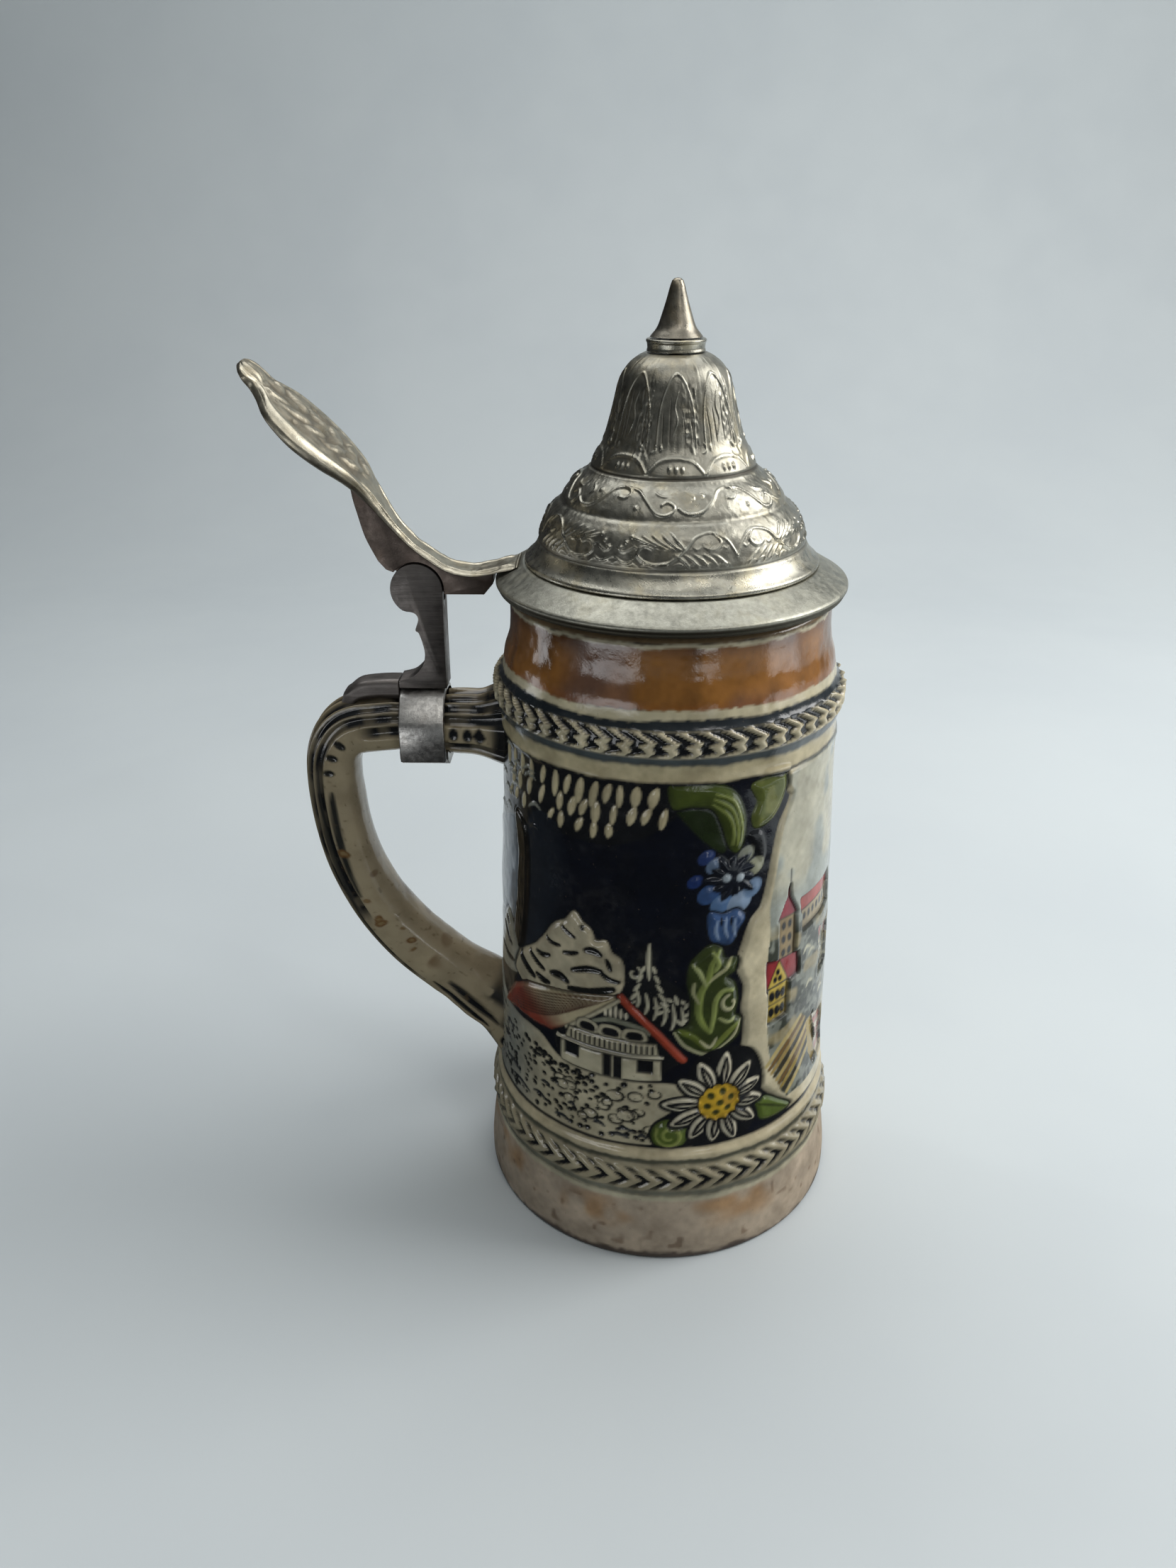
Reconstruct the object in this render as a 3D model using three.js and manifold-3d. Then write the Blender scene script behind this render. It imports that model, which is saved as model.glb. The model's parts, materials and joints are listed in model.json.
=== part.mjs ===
// A half-litre beer stein: a glazed stoneware mug with a luted handle, and a hinged pewter lid.
// Millimetres, +Z up. The origin is the centre of the flat underside, the mug's axis is Z,
// and the handle points along -X. The lid is shown closed.
import * as THREE from 'three';
import { mergeVertices } from 'three/addons/utils/BufferGeometryUtils.js';
import Module from 'manifold-3d';

const wasm = await Module();
wasm.setup();

// Driving dimensions
const BASE_RADIUS = 47;
const FLOOR_THICKNESS = 7;
const RIM_Z = 162.6;
const RIM_RADIUS = 36.8;
const BORE_RADIUS = 32.2;
const GAP = 0.3;

const HINGE_X = -58.3;
const HINGE_Z = 162.2;
const CHEEK_RADIUS = 6;
const SOCKET_RADIUS = 6.4;
const KNUCKLE_RADIUS = 5.2;
const HINGE_HALF_WIDTH = 3.4;
const KNUCKLE_HALF_WIDTH = 1;
const SLOT_HALF_WIDTH = 1.3;
const PIN_RADIUS = 1.5;
const PIN_CLEARANCE = 0.08;
const POST_RIGHT_X = -52.6;

const FLANGE_RADIUS = 40;
const FLANGE_BOTTOM_Z = 162.9;
const FLANGE_EDGE_Z = 165.6;
const FLANGE_CONE_Z = 169;
const SKIRT_RADIUS = 31.4;
const SKIRT_WALL = 1.8;
const DOME_FOOT_RADIUS = 33.2;
const DOME_FOOT_Z = FLANGE_CONE_Z + GAP;
const DOME_WALL = 1.6;
const DOME_TOP_Z = 213.3;
const COLLAR_RADIUS = 6.4;
const COLLAR_TOP_Z = 216.1;
const TIP_Z = 227.8;
const SCREW_RADIUS = 1.5;

const HANDLE_HALF_WIDTH = 7.5;
const HANDLE_ARM_Z = 128.6;
const HANDLE_ARM_HALF_HEIGHT = 7.4;
const BAND_LEFT_X = -63.9;
const BAND_RIGHT_X = -53;
const BAND_THICKNESS = 1.5;
const BAND_LEG_Z = 121.2;
const CLOSURE_BOTTOM_Z = 119.3;

const ROUND_SEGMENTS = 48;
const LID_SEGMENTS = 40;

// Materials
const stoneware = new THREE.MeshStandardMaterial({ color: 0xb9aa8c, roughness: 0.28, metalness: 0 });
const stonewareHandle = new THREE.MeshStandardMaterial({ color: 0xa89a7b, roughness: 0.32, metalness: 0 });
const domePewter = new THREE.MeshStandardMaterial({ color: 0x8f8b80, roughness: 0.34, metalness: 1 });
const flangePewter = new THREE.MeshStandardMaterial({ color: 0x7f8074, roughness: 0.5, metalness: 1 });
const leverPewter = new THREE.MeshStandardMaterial({ color: 0x97917f, roughness: 0.36, metalness: 1 });
const spireBronze = new THREE.MeshStandardMaterial({ color: 0x6e6758, roughness: 0.38, metalness: 1 });
const postZinc = new THREE.MeshStandardMaterial({ color: 0x56504d, roughness: 0.55, metalness: 1 });
const strapZinc = new THREE.MeshStandardMaterial({ color: 0x6b6a69, roughness: 0.5, metalness: 1 });
const pinSteel = new THREE.MeshStandardMaterial({ color: 0x8c8c8c, roughness: 0.3, metalness: 1 });

// A closed mesh as a manifold solid, with its faces turned outward
function solidOf(geometry) {
  let bare = geometry.clone();
  bare.deleteAttribute('normal');
  bare.deleteAttribute('uv');
  bare = mergeVertices(bare, 1e-4);
  const positions = new Float32Array(bare.attributes.position.array);
  const indices = new Uint32Array(bare.index.array);
  let volume = 0;
  const a = new THREE.Vector3();
  const b = new THREE.Vector3();
  const c = new THREE.Vector3();
  for (let i = 0; i < indices.length; i += 3) {
    a.fromArray(positions, indices[i] * 3);
    b.fromArray(positions, indices[i + 1] * 3);
    c.fromArray(positions, indices[i + 2] * 3);
    volume += a.dot(b.cross(c)) / 6;
  }
  if (volume < 0) {
    for (let i = 0; i < indices.length; i += 3) {
      const swap = indices[i + 1];
      indices[i + 1] = indices[i + 2];
      indices[i + 2] = swap;
    }
  }
  const kept = [];
  for (let i = 0; i < indices.length; i += 3) {
    const [p, q, r] = [indices[i], indices[i + 1], indices[i + 2]];
    if (p !== q && q !== r && r !== p) {
      kept.push(p, q, r);
    }
  }
  return new wasm.Manifold(new wasm.Mesh({
    numProp: 3,
    vertProperties: positions,
    triVerts: new Uint32Array(kept),
  }));
}

// A solid as a mesh with its own name and material
function meshOf(name, solid, material) {
  const result = solid.getMesh();
  const geometry = new THREE.BufferGeometry();
  geometry.setAttribute('position', new THREE.BufferAttribute(new Float32Array(result.vertProperties), 3));
  geometry.setIndex(new THREE.BufferAttribute(new Uint32Array(result.triVerts), 1));
  geometry.computeVertexNormals();
  const mesh = new THREE.Mesh(geometry, material);
  mesh.name = name;
  return mesh;
}

// A profile of [radius, z] points turned about the Z axis
function turned(profile, segments) {
  const points = profile.map(([r, z]) => new THREE.Vector2(r, z));
  return solidOf(new THREE.LatheGeometry(points, segments).rotateX(Math.PI / 2));
}

// A shape drawn in the XZ plane, given thickness in Y from -halfWidth to +halfWidth
function slab(shape, halfWidth, curveSegments = 12) {
  const geometry = new THREE.ExtrudeGeometry(shape, {
    depth: 2 * halfWidth,
    bevelEnabled: false,
    curveSegments,
  });
  return solidOf(geometry.rotateX(Math.PI / 2).translate(0, halfWidth, 0));
}

// A round bar along Y through the hinge centre
function hingeBar(radius, halfWidth, segments = 36) {
  const geometry = new THREE.CylinderGeometry(radius, radius, 2 * halfWidth, segments);
  return solidOf(geometry.translate(HINGE_X, 0, HINGE_Z));
}

// A bar lofted along a path in the XZ plane. sizeAt(t) gives its half thickness across the path,
// its half width in Y, and how square its section is (2 is an ellipse).
function lofted(path, steps, around, sizeAt) {
  const vertices = [];
  const indices = [];
  for (let i = 0; i <= steps; i += 1) {
    const t = i / steps;
    const centre = path.getPoint(t);
    const along = path.getTangent(t);
    const normal = new THREE.Vector2(-along.y, along.x);
    const { thick, wide, square } = sizeAt(t);
    for (let k = 0; k < around; k += 1) {
      const angle = (2 * Math.PI * k) / around;
      const across = Math.sign(Math.cos(angle)) * Math.abs(Math.cos(angle)) ** (2 / square);
      const side = Math.sign(Math.sin(angle)) * Math.abs(Math.sin(angle)) ** (2 / square);
      vertices.push(centre.x + normal.x * thick * across, wide * side, centre.y + normal.y * thick * across);
    }
  }
  for (let i = 0; i < steps; i += 1) {
    for (let k = 0; k < around; k += 1) {
      const a = i * around + k;
      const b = i * around + ((k + 1) % around);
      indices.push(a, b, a + around, b, b + around, a + around);
    }
  }
  for (let k = 1; k < around - 1; k += 1) {
    indices.push(0, k + 1, k);
    const last = steps * around;
    indices.push(last, last + k, last + k + 1);
  }
  const geometry = new THREE.BufferGeometry();
  geometry.setAttribute('position', new THREE.BufferAttribute(new Float32Array(vertices), 3));
  geometry.setIndex(indices);
  return solidOf(geometry);
}

// A smooth blend of values given at places along a path, as [t, value] pairs
function blendOf(pairs, t) {
  for (let i = 1; i < pairs.length; i += 1) {
    const [t0, v0] = pairs[i - 1];
    const [t1, v1] = pairs[i];
    if (t <= t1) {
      return v0 + (v1 - v0) * THREE.MathUtils.smoothstep(t, t0, t1);
    }
  }
  return pairs[pairs.length - 1][1];
}

// The mug's outside: a plain foot band, a braided ring with a bead on each side, a slightly
// tapering wall, a second braided ring and a waisted glazed neck under the rim
const bodyOutside = [
  [BASE_RADIUS - 0.8, 0],
  [BASE_RADIUS, 0.8],
  [BASE_RADIUS, 3.5],
  [46.7, 7],
  [46.1, 12],
  [45.5, 17],
  [45.4, 19],
  [45.8, 22],
  [45.5, 26],
  [44.5, 29],
  [44.6, 31.5],
  [43.5, 34],
  [42.7, 42],
  [42.2, 60],
  [41.4, 84],
  [40.3, 108],
  [39.6, 127],
  [40.1, 131],
  [40.1, 134],
  [40.8, 137],
  [41.1, 139.6],
  [40.6, 142.2],
  [39.4, 144.2],
  [38.9, 146],
  [38.4, 149],
  [37.4, 152.4],
  [37, 156],
  [RIM_RADIUS, 160.5],
  [RIM_RADIUS - 0.8, 162],
  [RIM_RADIUS - 2, RIM_Z],
];
const bodyInside = [
  [BORE_RADIUS + 0.9, RIM_Z],
  [BORE_RADIUS, 161.4],
  [BORE_RADIUS, 152],
  [35, 142],
  [35.4, 120],
  [37.4, 60],
  [38.2, 18],
  [36.8, 10.5],
  [33.5, FLOOR_THICKNESS],
  [0, FLOOR_THICKNESS],
];
const steinBody = turned([[0, 0], ...bodyOutside, ...bodyInside], ROUND_SEGMENTS);

// The space the mug takes, grown by the gap, for trimming the handle's two ends
const grownOutside = bodyOutside.map(([r, z]) => [r + GAP, z]);
const bodyKeepOut = turned([[0, 0], ...grownOutside, [0, RIM_Z]], ROUND_SEGMENTS);

// The handle: a level arm at the top, a tight bend, and a long sweep back down to the wall
const handlePath = new THREE.SplineCurve([
  new THREE.Vector2(-36, 128.2),
  new THREE.Vector2(-44, 128.2),
  new THREE.Vector2(-52, HANDLE_ARM_Z),
  new THREE.Vector2(-60, HANDLE_ARM_Z),
  new THREE.Vector2(-68, HANDLE_ARM_Z),
  new THREE.Vector2(-76.8, 127),
  new THREE.Vector2(-81.4, 121.2),
  new THREE.Vector2(-82.5, 111.7),
  new THREE.Vector2(-81.5, 99.5),
  new THREE.Vector2(-78.8, 88),
  new THREE.Vector2(-73.7, 76.6),
  new THREE.Vector2(-66.5, 66.5),
  new THREE.Vector2(-57.9, 58.2),
  new THREE.Vector2(-49.2, 51),
  new THREE.Vector2(-41.5, 45.2),
  new THREE.Vector2(-36, 41.5),
]);
const handleThickness = [
  [0, 11], [0.09, 7.6], [0.16, HANDLE_ARM_HALF_HEIGHT], [0.3, 7.2],
  [0.42, 6.5], [0.6, 6.6], [0.8, 7.4], [0.9, 9], [1, 13],
];
const handleWidth = [
  [0, 10.5], [0.09, 7.9], [0.16, HANDLE_HALF_WIDTH], [0.8, HANDLE_HALF_WIDTH], [0.9, 8.4], [1, 11],
];
const steinHandle = lofted(handlePath, 30, 20, (t) => ({
  thick: blendOf(handleThickness, t),
  wide: blendOf(handleWidth, t),
  square: 2.5,
})).subtract(bodyKeepOut);

// A closed loop section of the handle's arm, grown by some distance, as a straight bar along X
function armBar(x0, x1, grow) {
  const path = new THREE.LineCurve(new THREE.Vector2(x0, HANDLE_ARM_Z), new THREE.Vector2(x1, HANDLE_ARM_Z));
  return lofted(path, 1, 32, () => ({
    thick: HANDLE_ARM_HALF_HEIGHT + grow,
    wide: HANDLE_HALF_WIDTH + grow,
    square: 2.5,
  }));
}

// A block between two corners
function block(x0, y0, z0, x1, y1, z1) {
  const geometry = new THREE.BoxGeometry(x1 - x0, y1 - y0, z1 - z0);
  return solidOf(geometry.translate((x0 + x1) / 2, (y0 + y1) / 2, (z0 + z1) / 2));
}

// The metal band round the arm, open below, and the plate that closes it
const bandOuter = armBar(BAND_LEFT_X, BAND_RIGHT_X, GAP + BAND_THICKNESS)
  .add(block(BAND_LEFT_X, -9.2, BAND_LEG_Z, BAND_RIGHT_X, 9.2, HANDLE_ARM_Z));
const bandHollow = armBar(BAND_LEFT_X - 2, BAND_RIGHT_X + 2, GAP)
  .add(block(BAND_LEFT_X - 2, -7.8, BAND_LEG_Z - 3, BAND_RIGHT_X + 2, 7.8, HANDLE_ARM_Z));
const belowLegs = block(BAND_LEFT_X - 3, -20, 100, BAND_RIGHT_X + 3, 20, BAND_LEG_Z);
const strapBand = bandOuter.subtract(bandHollow).subtract(belowLegs);

const closureShape = new THREE.Shape([
  new THREE.Vector2(-7.4, BAND_LEG_Z + 2),
  new THREE.Vector2(-7.4, BAND_LEG_Z + 0.1),
  new THREE.Vector2(-5.2, CLOSURE_BOTTOM_Z),
  new THREE.Vector2(5.2, CLOSURE_BOTTOM_Z),
  new THREE.Vector2(7.4, BAND_LEG_Z + 0.1),
  new THREE.Vector2(7.4, BAND_LEG_Z + 2),
]);
const closureLength = BAND_RIGHT_X - BAND_LEFT_X + 0.8;
const closureBar = new THREE.ExtrudeGeometry(closureShape, { depth: closureLength, bevelEnabled: false });
closureBar.rotateX(Math.PI / 2).rotateZ(Math.PI / 2).translate(BAND_LEFT_X - 0.4, 0, 0);
const strapClosure = solidOf(closureBar).subtract(armBar(BAND_LEFT_X - 4, BAND_RIGHT_X + 4, GAP));

// The hinge post: a disc-headed fork on a column whose back edge is cut as a row of small curves
const postBottom = HANDLE_ARM_Z + HANDLE_ARM_HALF_HEIGHT + 2 * GAP + BAND_THICKNESS;
const postShape = new THREE.Shape();
postShape.moveTo(POST_RIGHT_X, postBottom);
postShape.lineTo(HINGE_X + CHEEK_RADIUS, HINGE_Z);
postShape.absarc(HINGE_X, HINGE_Z, CHEEK_RADIUS, 0, (238 * Math.PI) / 180, false);
postShape.splineThru([
  new THREE.Vector2(-59.2, 156.7),
  new THREE.Vector2(-58.3, 155.2),
  new THREE.Vector2(-59.1, 152.6),
  new THREE.Vector2(-58.4, 151.8),
  new THREE.Vector2(-57.6, 149.1),
  new THREE.Vector2(-57.3, 146.4),
  new THREE.Vector2(-58.1, 143.6),
  new THREE.Vector2(-60.6, 141),
  new THREE.Vector2(BAND_LEFT_X, 140),
]);
postShape.lineTo(BAND_LEFT_X, postBottom);
const forkSlot = hingeBar(SOCKET_RADIUS + GAP, SLOT_HALF_WIDTH);
const pinHole = hingeBar(PIN_RADIUS + PIN_CLEARANCE, HINGE_HALF_WIDTH + 1);
const hingePost = slab(postShape, HINGE_HALF_WIDTH, 14).subtract(forkSlot).subtract(pinHole);

// The saddle tongue behind the post, lying along the top of the arm
const tonguePath = new THREE.SplineCurve([
  new THREE.Vector2(BAND_LEFT_X - GAP, 136.6),
  new THREE.Vector2(-68.5, 136.6),
  new THREE.Vector2(-72.6, 136.2),
  new THREE.Vector2(-75.6, 135),
  new THREE.Vector2(-78, 133.6),
]);
const handleKeepOut = lofted(handlePath, 30, 20, (t) => ({
  thick: blendOf(handleThickness, t) + GAP,
  wide: blendOf(handleWidth, t) + GAP,
  square: 2.5,
}));
const saddleTongue = lofted(tonguePath, 8, 16, (t) => ({
  thick: blendOf([[0, 3.4], [0.5, 3.2], [0.8, 2.4], [1, 1]], t),
  wide: blendOf([[0, HINGE_HALF_WIDTH], [0.7, HINGE_HALF_WIDTH], [1, 2.6]], t),
  square: 4,
})).subtract(handleKeepOut);

const hingePin = hingeBar(PIN_RADIUS, HINGE_HALF_WIDTH - 0.05);

// The thumblift casting: a curved strap that widens into a leaf-shaped plate, a web below it with
// round sockets for the post's cheeks, and a knuckle between them
const liftPath = new THREE.SplineCurve([
  new THREE.Vector2(-34.6, 168.1),
  new THREE.Vector2(-38, 167.4),
  new THREE.Vector2(-42, 166.4),
  new THREE.Vector2(-46, 166),
  new THREE.Vector2(-50.4, 166.9),
  new THREE.Vector2(-54.7, 169.4),
  new THREE.Vector2(-59, 172.7),
  new THREE.Vector2(-63.2, 177.4),
  new THREE.Vector2(-67, 183),
  new THREE.Vector2(-70.5, 188.3),
  new THREE.Vector2(-74.2, 192.8),
  new THREE.Vector2(-78.9, 197.8),
  new THREE.Vector2(-84.1, 203.2),
  new THREE.Vector2(-89.2, 207.9),
  new THREE.Vector2(-93.8, 212.2),
]);
const liftThickness = [
  [0, 0.9], [0.3, 0.9], [0.5, 1.1], [0.66, 2], [0.8, 2.8], [0.9, 2], [0.95, 1.8], [1, 0.9],
];
const liftWidth = [
  [0, 6.8], [0.12, 5.8], [0.3, 4.9], [0.5, 4.5], [0.6, 7],
  [0.72, 13.2], [0.8, 13.8], [0.88, 9.4], [0.91, 6.2], [0.95, 5.2], [1, 1.4],
];
const liftStrap = lofted(liftPath, 36, 16, (t) => ({
  thick: blendOf(liftThickness, t),
  wide: blendOf(liftWidth, t),
  square: 2.8,
}));

const webShape = new THREE.Shape();
webShape.moveTo(-71.6, 188);
webShape.splineThru([
  new THREE.Vector2(-71.2, 183.5),
  new THREE.Vector2(-70.3, 179.3),
  new THREE.Vector2(-69, 174.2),
  new THREE.Vector2(-66.6, 168.9),
]);
webShape.lineTo(-64.9, 166.9);
webShape.lineTo(-63.4, 166.3);
webShape.lineTo(HINGE_X, HINGE_Z);
webShape.lineTo(-51.7, 161.1);
webShape.lineTo(-42.7, 161.1);
webShape.lineTo(-40.5, 163.7);
webShape.lineTo(-40.5, 166.6);
webShape.splineThru([
  new THREE.Vector2(-46, 166),
  new THREE.Vector2(-50.4, 166.9),
  new THREE.Vector2(-54.7, 169.4),
  new THREE.Vector2(-59, 172.7),
  new THREE.Vector2(-63.2, 177.4),
  new THREE.Vector2(-67, 183),
  new THREE.Vector2(-70.6, 188.2),
]);
const web = slab(webShape, HINGE_HALF_WIDTH - 0.3, 4);
const cheekSockets = hingeBar(SOCKET_RADIUS, 20)
  .subtract(hingeBar(SOCKET_RADIUS + 1, KNUCKLE_HALF_WIDTH));
const knuckle = hingeBar(KNUCKLE_RADIUS, KNUCKLE_HALF_WIDTH);

// The lid's lower ring: a shallow cone with a stepped edge and a skirt that drops inside the rim
const flangeProfile = [
  [SKIRT_RADIUS - SKIRT_WALL, 159.8],
  [SKIRT_RADIUS - 0.5, 159.8],
  [SKIRT_RADIUS, 160.3],
  [SKIRT_RADIUS, FLANGE_BOTTOM_Z],
  [FLANGE_RADIUS - 1.2, FLANGE_BOTTOM_Z],
  [FLANGE_RADIUS - 0.5, 163.4],
  [FLANGE_RADIUS - 0.5, 164.1],
  [FLANGE_RADIUS, 164.4],
  [FLANGE_RADIUS, FLANGE_EDGE_Z - 0.4],
  [FLANGE_RADIUS - 0.4, FLANGE_EDGE_Z],
  [DOME_FOOT_RADIUS + 0.6, FLANGE_CONE_Z],
  [SKIRT_RADIUS - SKIRT_WALL, FLANGE_CONE_Z],
  [SKIRT_RADIUS - SKIRT_WALL, 159.8],
];
const lidFlange = turned(flangeProfile, ROUND_SEGMENTS);
const flangeKeepOut = turned([
  [0, 155],
  [FLANGE_RADIUS + GAP, 155],
  [FLANGE_RADIUS + GAP, FLANGE_EDGE_Z - 0.2],
  [FLANGE_RADIUS - 0.3, FLANGE_EDGE_Z + GAP],
  [DOME_FOOT_RADIUS + 0.6, FLANGE_CONE_Z + GAP + 0.05],
  [0, FLANGE_CONE_Z + GAP + 0.05],
], ROUND_SEGMENTS);
const domeKeepOut = turned([
  [0, 150],
  [DOME_FOOT_RADIUS + 0.4, 150],
  [DOME_FOOT_RADIUS + 0.4, 172],
  [0, 172],
], ROUND_SEGMENTS);

const thumblift = liftStrap
  .add(web)
  .subtract(cheekSockets)
  .add(knuckle)
  .subtract(pinHole)
  .subtract(flangeKeepOut)
  .subtract(domeKeepOut);

// The dome: a moulded foot, two stepped ornamental tiers and a bell, hollow inside
const domeProfile = [
  [DOME_FOOT_RADIUS - 3.2, DOME_FOOT_Z],
  [DOME_FOOT_RADIUS, DOME_FOOT_Z],
  [DOME_FOOT_RADIUS, 170],
  [31.9, 171],
  [30.7, 172.6],
  [30.1, 174],
  [29.6, 175.8],
  [28.9, 178],
  [27.8, 180.4],
  [25.7, 182.4],
  [24.9, 182.9],
  [24.4, 184.2],
  [23.3, 185.7],
  [21.8, 187.4],
  [19.2, 189.2],
  [18.4, 190],
  [17.8, 191.4],
  [16.4, 193.8],
  [15.2, 195.8],
  [14.4, 198.4],
  [13.5, 201.6],
  [12.8, 204.4],
  [12.1, 207.2],
  [11.3, 209.4],
  [9.9, 211.3],
  [7.8, 212.8],
  [COLLAR_RADIUS + 0.3, DOME_TOP_Z],
  [SCREW_RADIUS + GAP, DOME_TOP_Z],
  [SCREW_RADIUS + GAP, DOME_TOP_Z - DOME_WALL],
  [7.2, 211.4],
  [9.4, 209.2],
  [10.6, 206],
  [12.6, 198],
  [14.6, 193],
  [16.8, 189],
  [21.2, 185.6],
  [23, 182.2],
  [26, 180.2],
  [27.8, 176],
  [28.6, 173],
  [DOME_FOOT_RADIUS - 3.2, DOME_FOOT_Z],
];
const lidDome = turned(domeProfile, LID_SEGMENTS);

// The finial: a collar ring, a pointed spire on top of it, and the screw that holds both from inside
const finialCollar = turned([
  [SCREW_RADIUS + GAP, DOME_TOP_Z + GAP],
  [COLLAR_RADIUS - 0.1, DOME_TOP_Z + GAP],
  [COLLAR_RADIUS - 0.2, 215.2],
  [COLLAR_RADIUS, 215.5],
  [COLLAR_RADIUS, COLLAR_TOP_Z - 0.2],
  [COLLAR_RADIUS - 0.3, COLLAR_TOP_Z],
  [SCREW_RADIUS + GAP, COLLAR_TOP_Z],
  [SCREW_RADIUS + GAP, DOME_TOP_Z + GAP],
], 24);
const finialSpire = turned([
  [SCREW_RADIUS + GAP, COLLAR_TOP_Z + GAP],
  [5.6, COLLAR_TOP_Z + GAP],
  [5.1, 217],
  [4.05, 218.4],
  [3.1, 221],
  [2.2, 223.9],
  [1.5, 226.4],
  [1.1, 227.3],
  [0, TIP_Z],
  [0, 219.9],
  [SCREW_RADIUS + GAP, 219.9],
  [SCREW_RADIUS + GAP, COLLAR_TOP_Z + GAP],
], 24);
const finialScrew = turned([
  [0, 208.8],
  [3.4, 208.8],
  [4, 209.4],
  [4, 210.8],
  [SCREW_RADIUS, 210.8],
  [SCREW_RADIUS, 219.4],
  [0, 219.4],
], 20);

// The mug and everything fixed to it
const mug = new THREE.Group();
mug.add(meshOf('stein_body', steinBody, stoneware));
mug.add(meshOf('stein_handle', steinHandle, stonewareHandle));
mug.add(meshOf('handle_strap_band', strapBand, strapZinc));
mug.add(meshOf('handle_strap_closure', strapClosure, strapZinc.clone()));
mug.add(meshOf('hinge_post', hingePost, postZinc));
mug.add(meshOf('saddle_tongue', saddleTongue, postZinc.clone()));
mug.add(meshOf('hinge_pin', hingePin, pinSteel));

// The lid and everything that swings with it
const lid = new THREE.Group();
lid.add(meshOf('thumblift', thumblift, leverPewter));
lid.add(meshOf('lid_flange', lidFlange, flangePewter));
lid.add(meshOf('lid_dome', lidDome, domePewter));
lid.add(meshOf('finial_collar', finialCollar, domePewter.clone()));
lid.add(meshOf('finial_spire', finialSpire, spireBronze));
lid.add(meshOf('finial_screw', finialScrew, pinSteel.clone()));

const stein = new THREE.Group();
stein.add(mug);
stein.add(lid);

export default stein;
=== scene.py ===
"""A half-litre beer stein: painted relief stoneware, a luted handle and a hinged pewter lid."""
import json
import math

import bmesh
import bpy
import numpy as np
from mathutils import Matrix, Vector


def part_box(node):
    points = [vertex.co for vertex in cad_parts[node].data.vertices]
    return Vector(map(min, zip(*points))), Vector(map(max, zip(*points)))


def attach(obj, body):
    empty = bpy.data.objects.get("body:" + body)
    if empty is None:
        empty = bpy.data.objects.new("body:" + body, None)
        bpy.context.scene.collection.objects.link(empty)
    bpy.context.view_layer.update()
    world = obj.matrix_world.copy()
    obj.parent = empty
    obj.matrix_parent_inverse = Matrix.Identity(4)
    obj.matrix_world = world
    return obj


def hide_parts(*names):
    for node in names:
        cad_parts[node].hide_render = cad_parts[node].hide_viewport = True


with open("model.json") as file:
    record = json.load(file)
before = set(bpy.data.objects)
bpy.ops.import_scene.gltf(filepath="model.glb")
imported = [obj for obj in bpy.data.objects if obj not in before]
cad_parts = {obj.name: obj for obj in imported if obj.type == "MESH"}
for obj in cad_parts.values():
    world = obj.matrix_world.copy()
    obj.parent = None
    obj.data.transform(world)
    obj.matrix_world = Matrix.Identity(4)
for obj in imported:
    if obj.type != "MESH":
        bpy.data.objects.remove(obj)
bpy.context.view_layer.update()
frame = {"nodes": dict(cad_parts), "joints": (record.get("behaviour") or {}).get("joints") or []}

MM = 0.001

# Driving sizes in millimetres, taken from the frame
base_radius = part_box("stein_body")[1].x / MM
rim_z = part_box("stein_body")[1].z / MM
flange_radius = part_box("lid_flange")[1].x / MM
flange_bottom_z = 162.9
spire_tip_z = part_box("finial_spire")[1].z / MM
hinge_x, _, hinge_z = (v / MM for v in frame["joints"][0]["pos_m"])
band_low, band_high = (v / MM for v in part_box("handle_strap_band"))
GAP = 0.3
HINGE_HALF_WIDTH = 3.4
CHEEK_RADIUS = 6
SOCKET_RADIUS = 6.4
KNUCKLE_RADIUS = 5.2
KNUCKLE_HALF_WIDTH = 1
SLOT_HALF_WIDTH = 1.3

# The painted wall is unrolled into a strip: "across" runs round the mug, 0 at the side with the
# cottage and 66 opposite the handle, and "up" is the height above the table
ROUND = 264
HANDLE_ACROSS = -66
FAR_SIDE = 132
LOW_BRAID_LINKS = 55
HIGH_BRAID_LINKS = 52


def srgb(code):
    """A hex colour as linear light."""
    channels = np.array([(code >> shift) & 255 for shift in (16, 8, 0)]) / 255
    return np.where(channels <= 0.04045, channels / 12.92, ((channels + 0.055) / 1.055) ** 2.4)


INK = srgb(0x15171A)
NAVY = srgb(0x0C101B)
CREAM = srgb(0xC4B794)
PALE = srgb(0xD8D0B8)
OLIVE = srgb(0x46511F)
LEAF_GREEN = srgb(0x8C9650)
YELLOW = srgb(0xC9A22E)
AMBER = srgb(0x93622C)
BISQUE = srgb(0xB4A38E)
STONE = srgb(0xB0A48A)


# ---------------------------------------------------------------- curves and noise

def smooth(value, low=0.0, high=1.0):
    w = np.clip((value - low) / (high - low), 0, 1)
    return w * w * (3 - 2 * w)


def spline_at(points, t, closed=False):
    """The curve through the points, read at t, which counts points from 0."""
    p = np.array(points, float)
    n = len(p)
    i = np.clip(np.floor(t).astype(int), 0, n - (1 if closed else 2))
    w = (t - i)[:, None]
    if closed:
        before, start, end, after = p[(i - 1) % n], p[i % n], p[(i + 1) % n], p[(i + 2) % n]
    else:
        before, start, end, after = p[np.maximum(i - 1, 0)], p[i], p[i + 1], p[np.minimum(i + 2, n - 1)]
    leave, arrive = (end - before) / 2, (after - start) / 2
    cubic = (2 * start - 2 * end + leave + arrive) * w ** 3
    return cubic + (3 * end - 3 * start - 2 * leave - arrive) * w ** 2 + leave * w + start


def spline(points, steps=6, closed=False):
    spans = len(points) if closed else len(points) - 1
    t = np.arange(spans * steps + (0 if closed else 1)) / steps
    return spline_at(points, t, closed)


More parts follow.
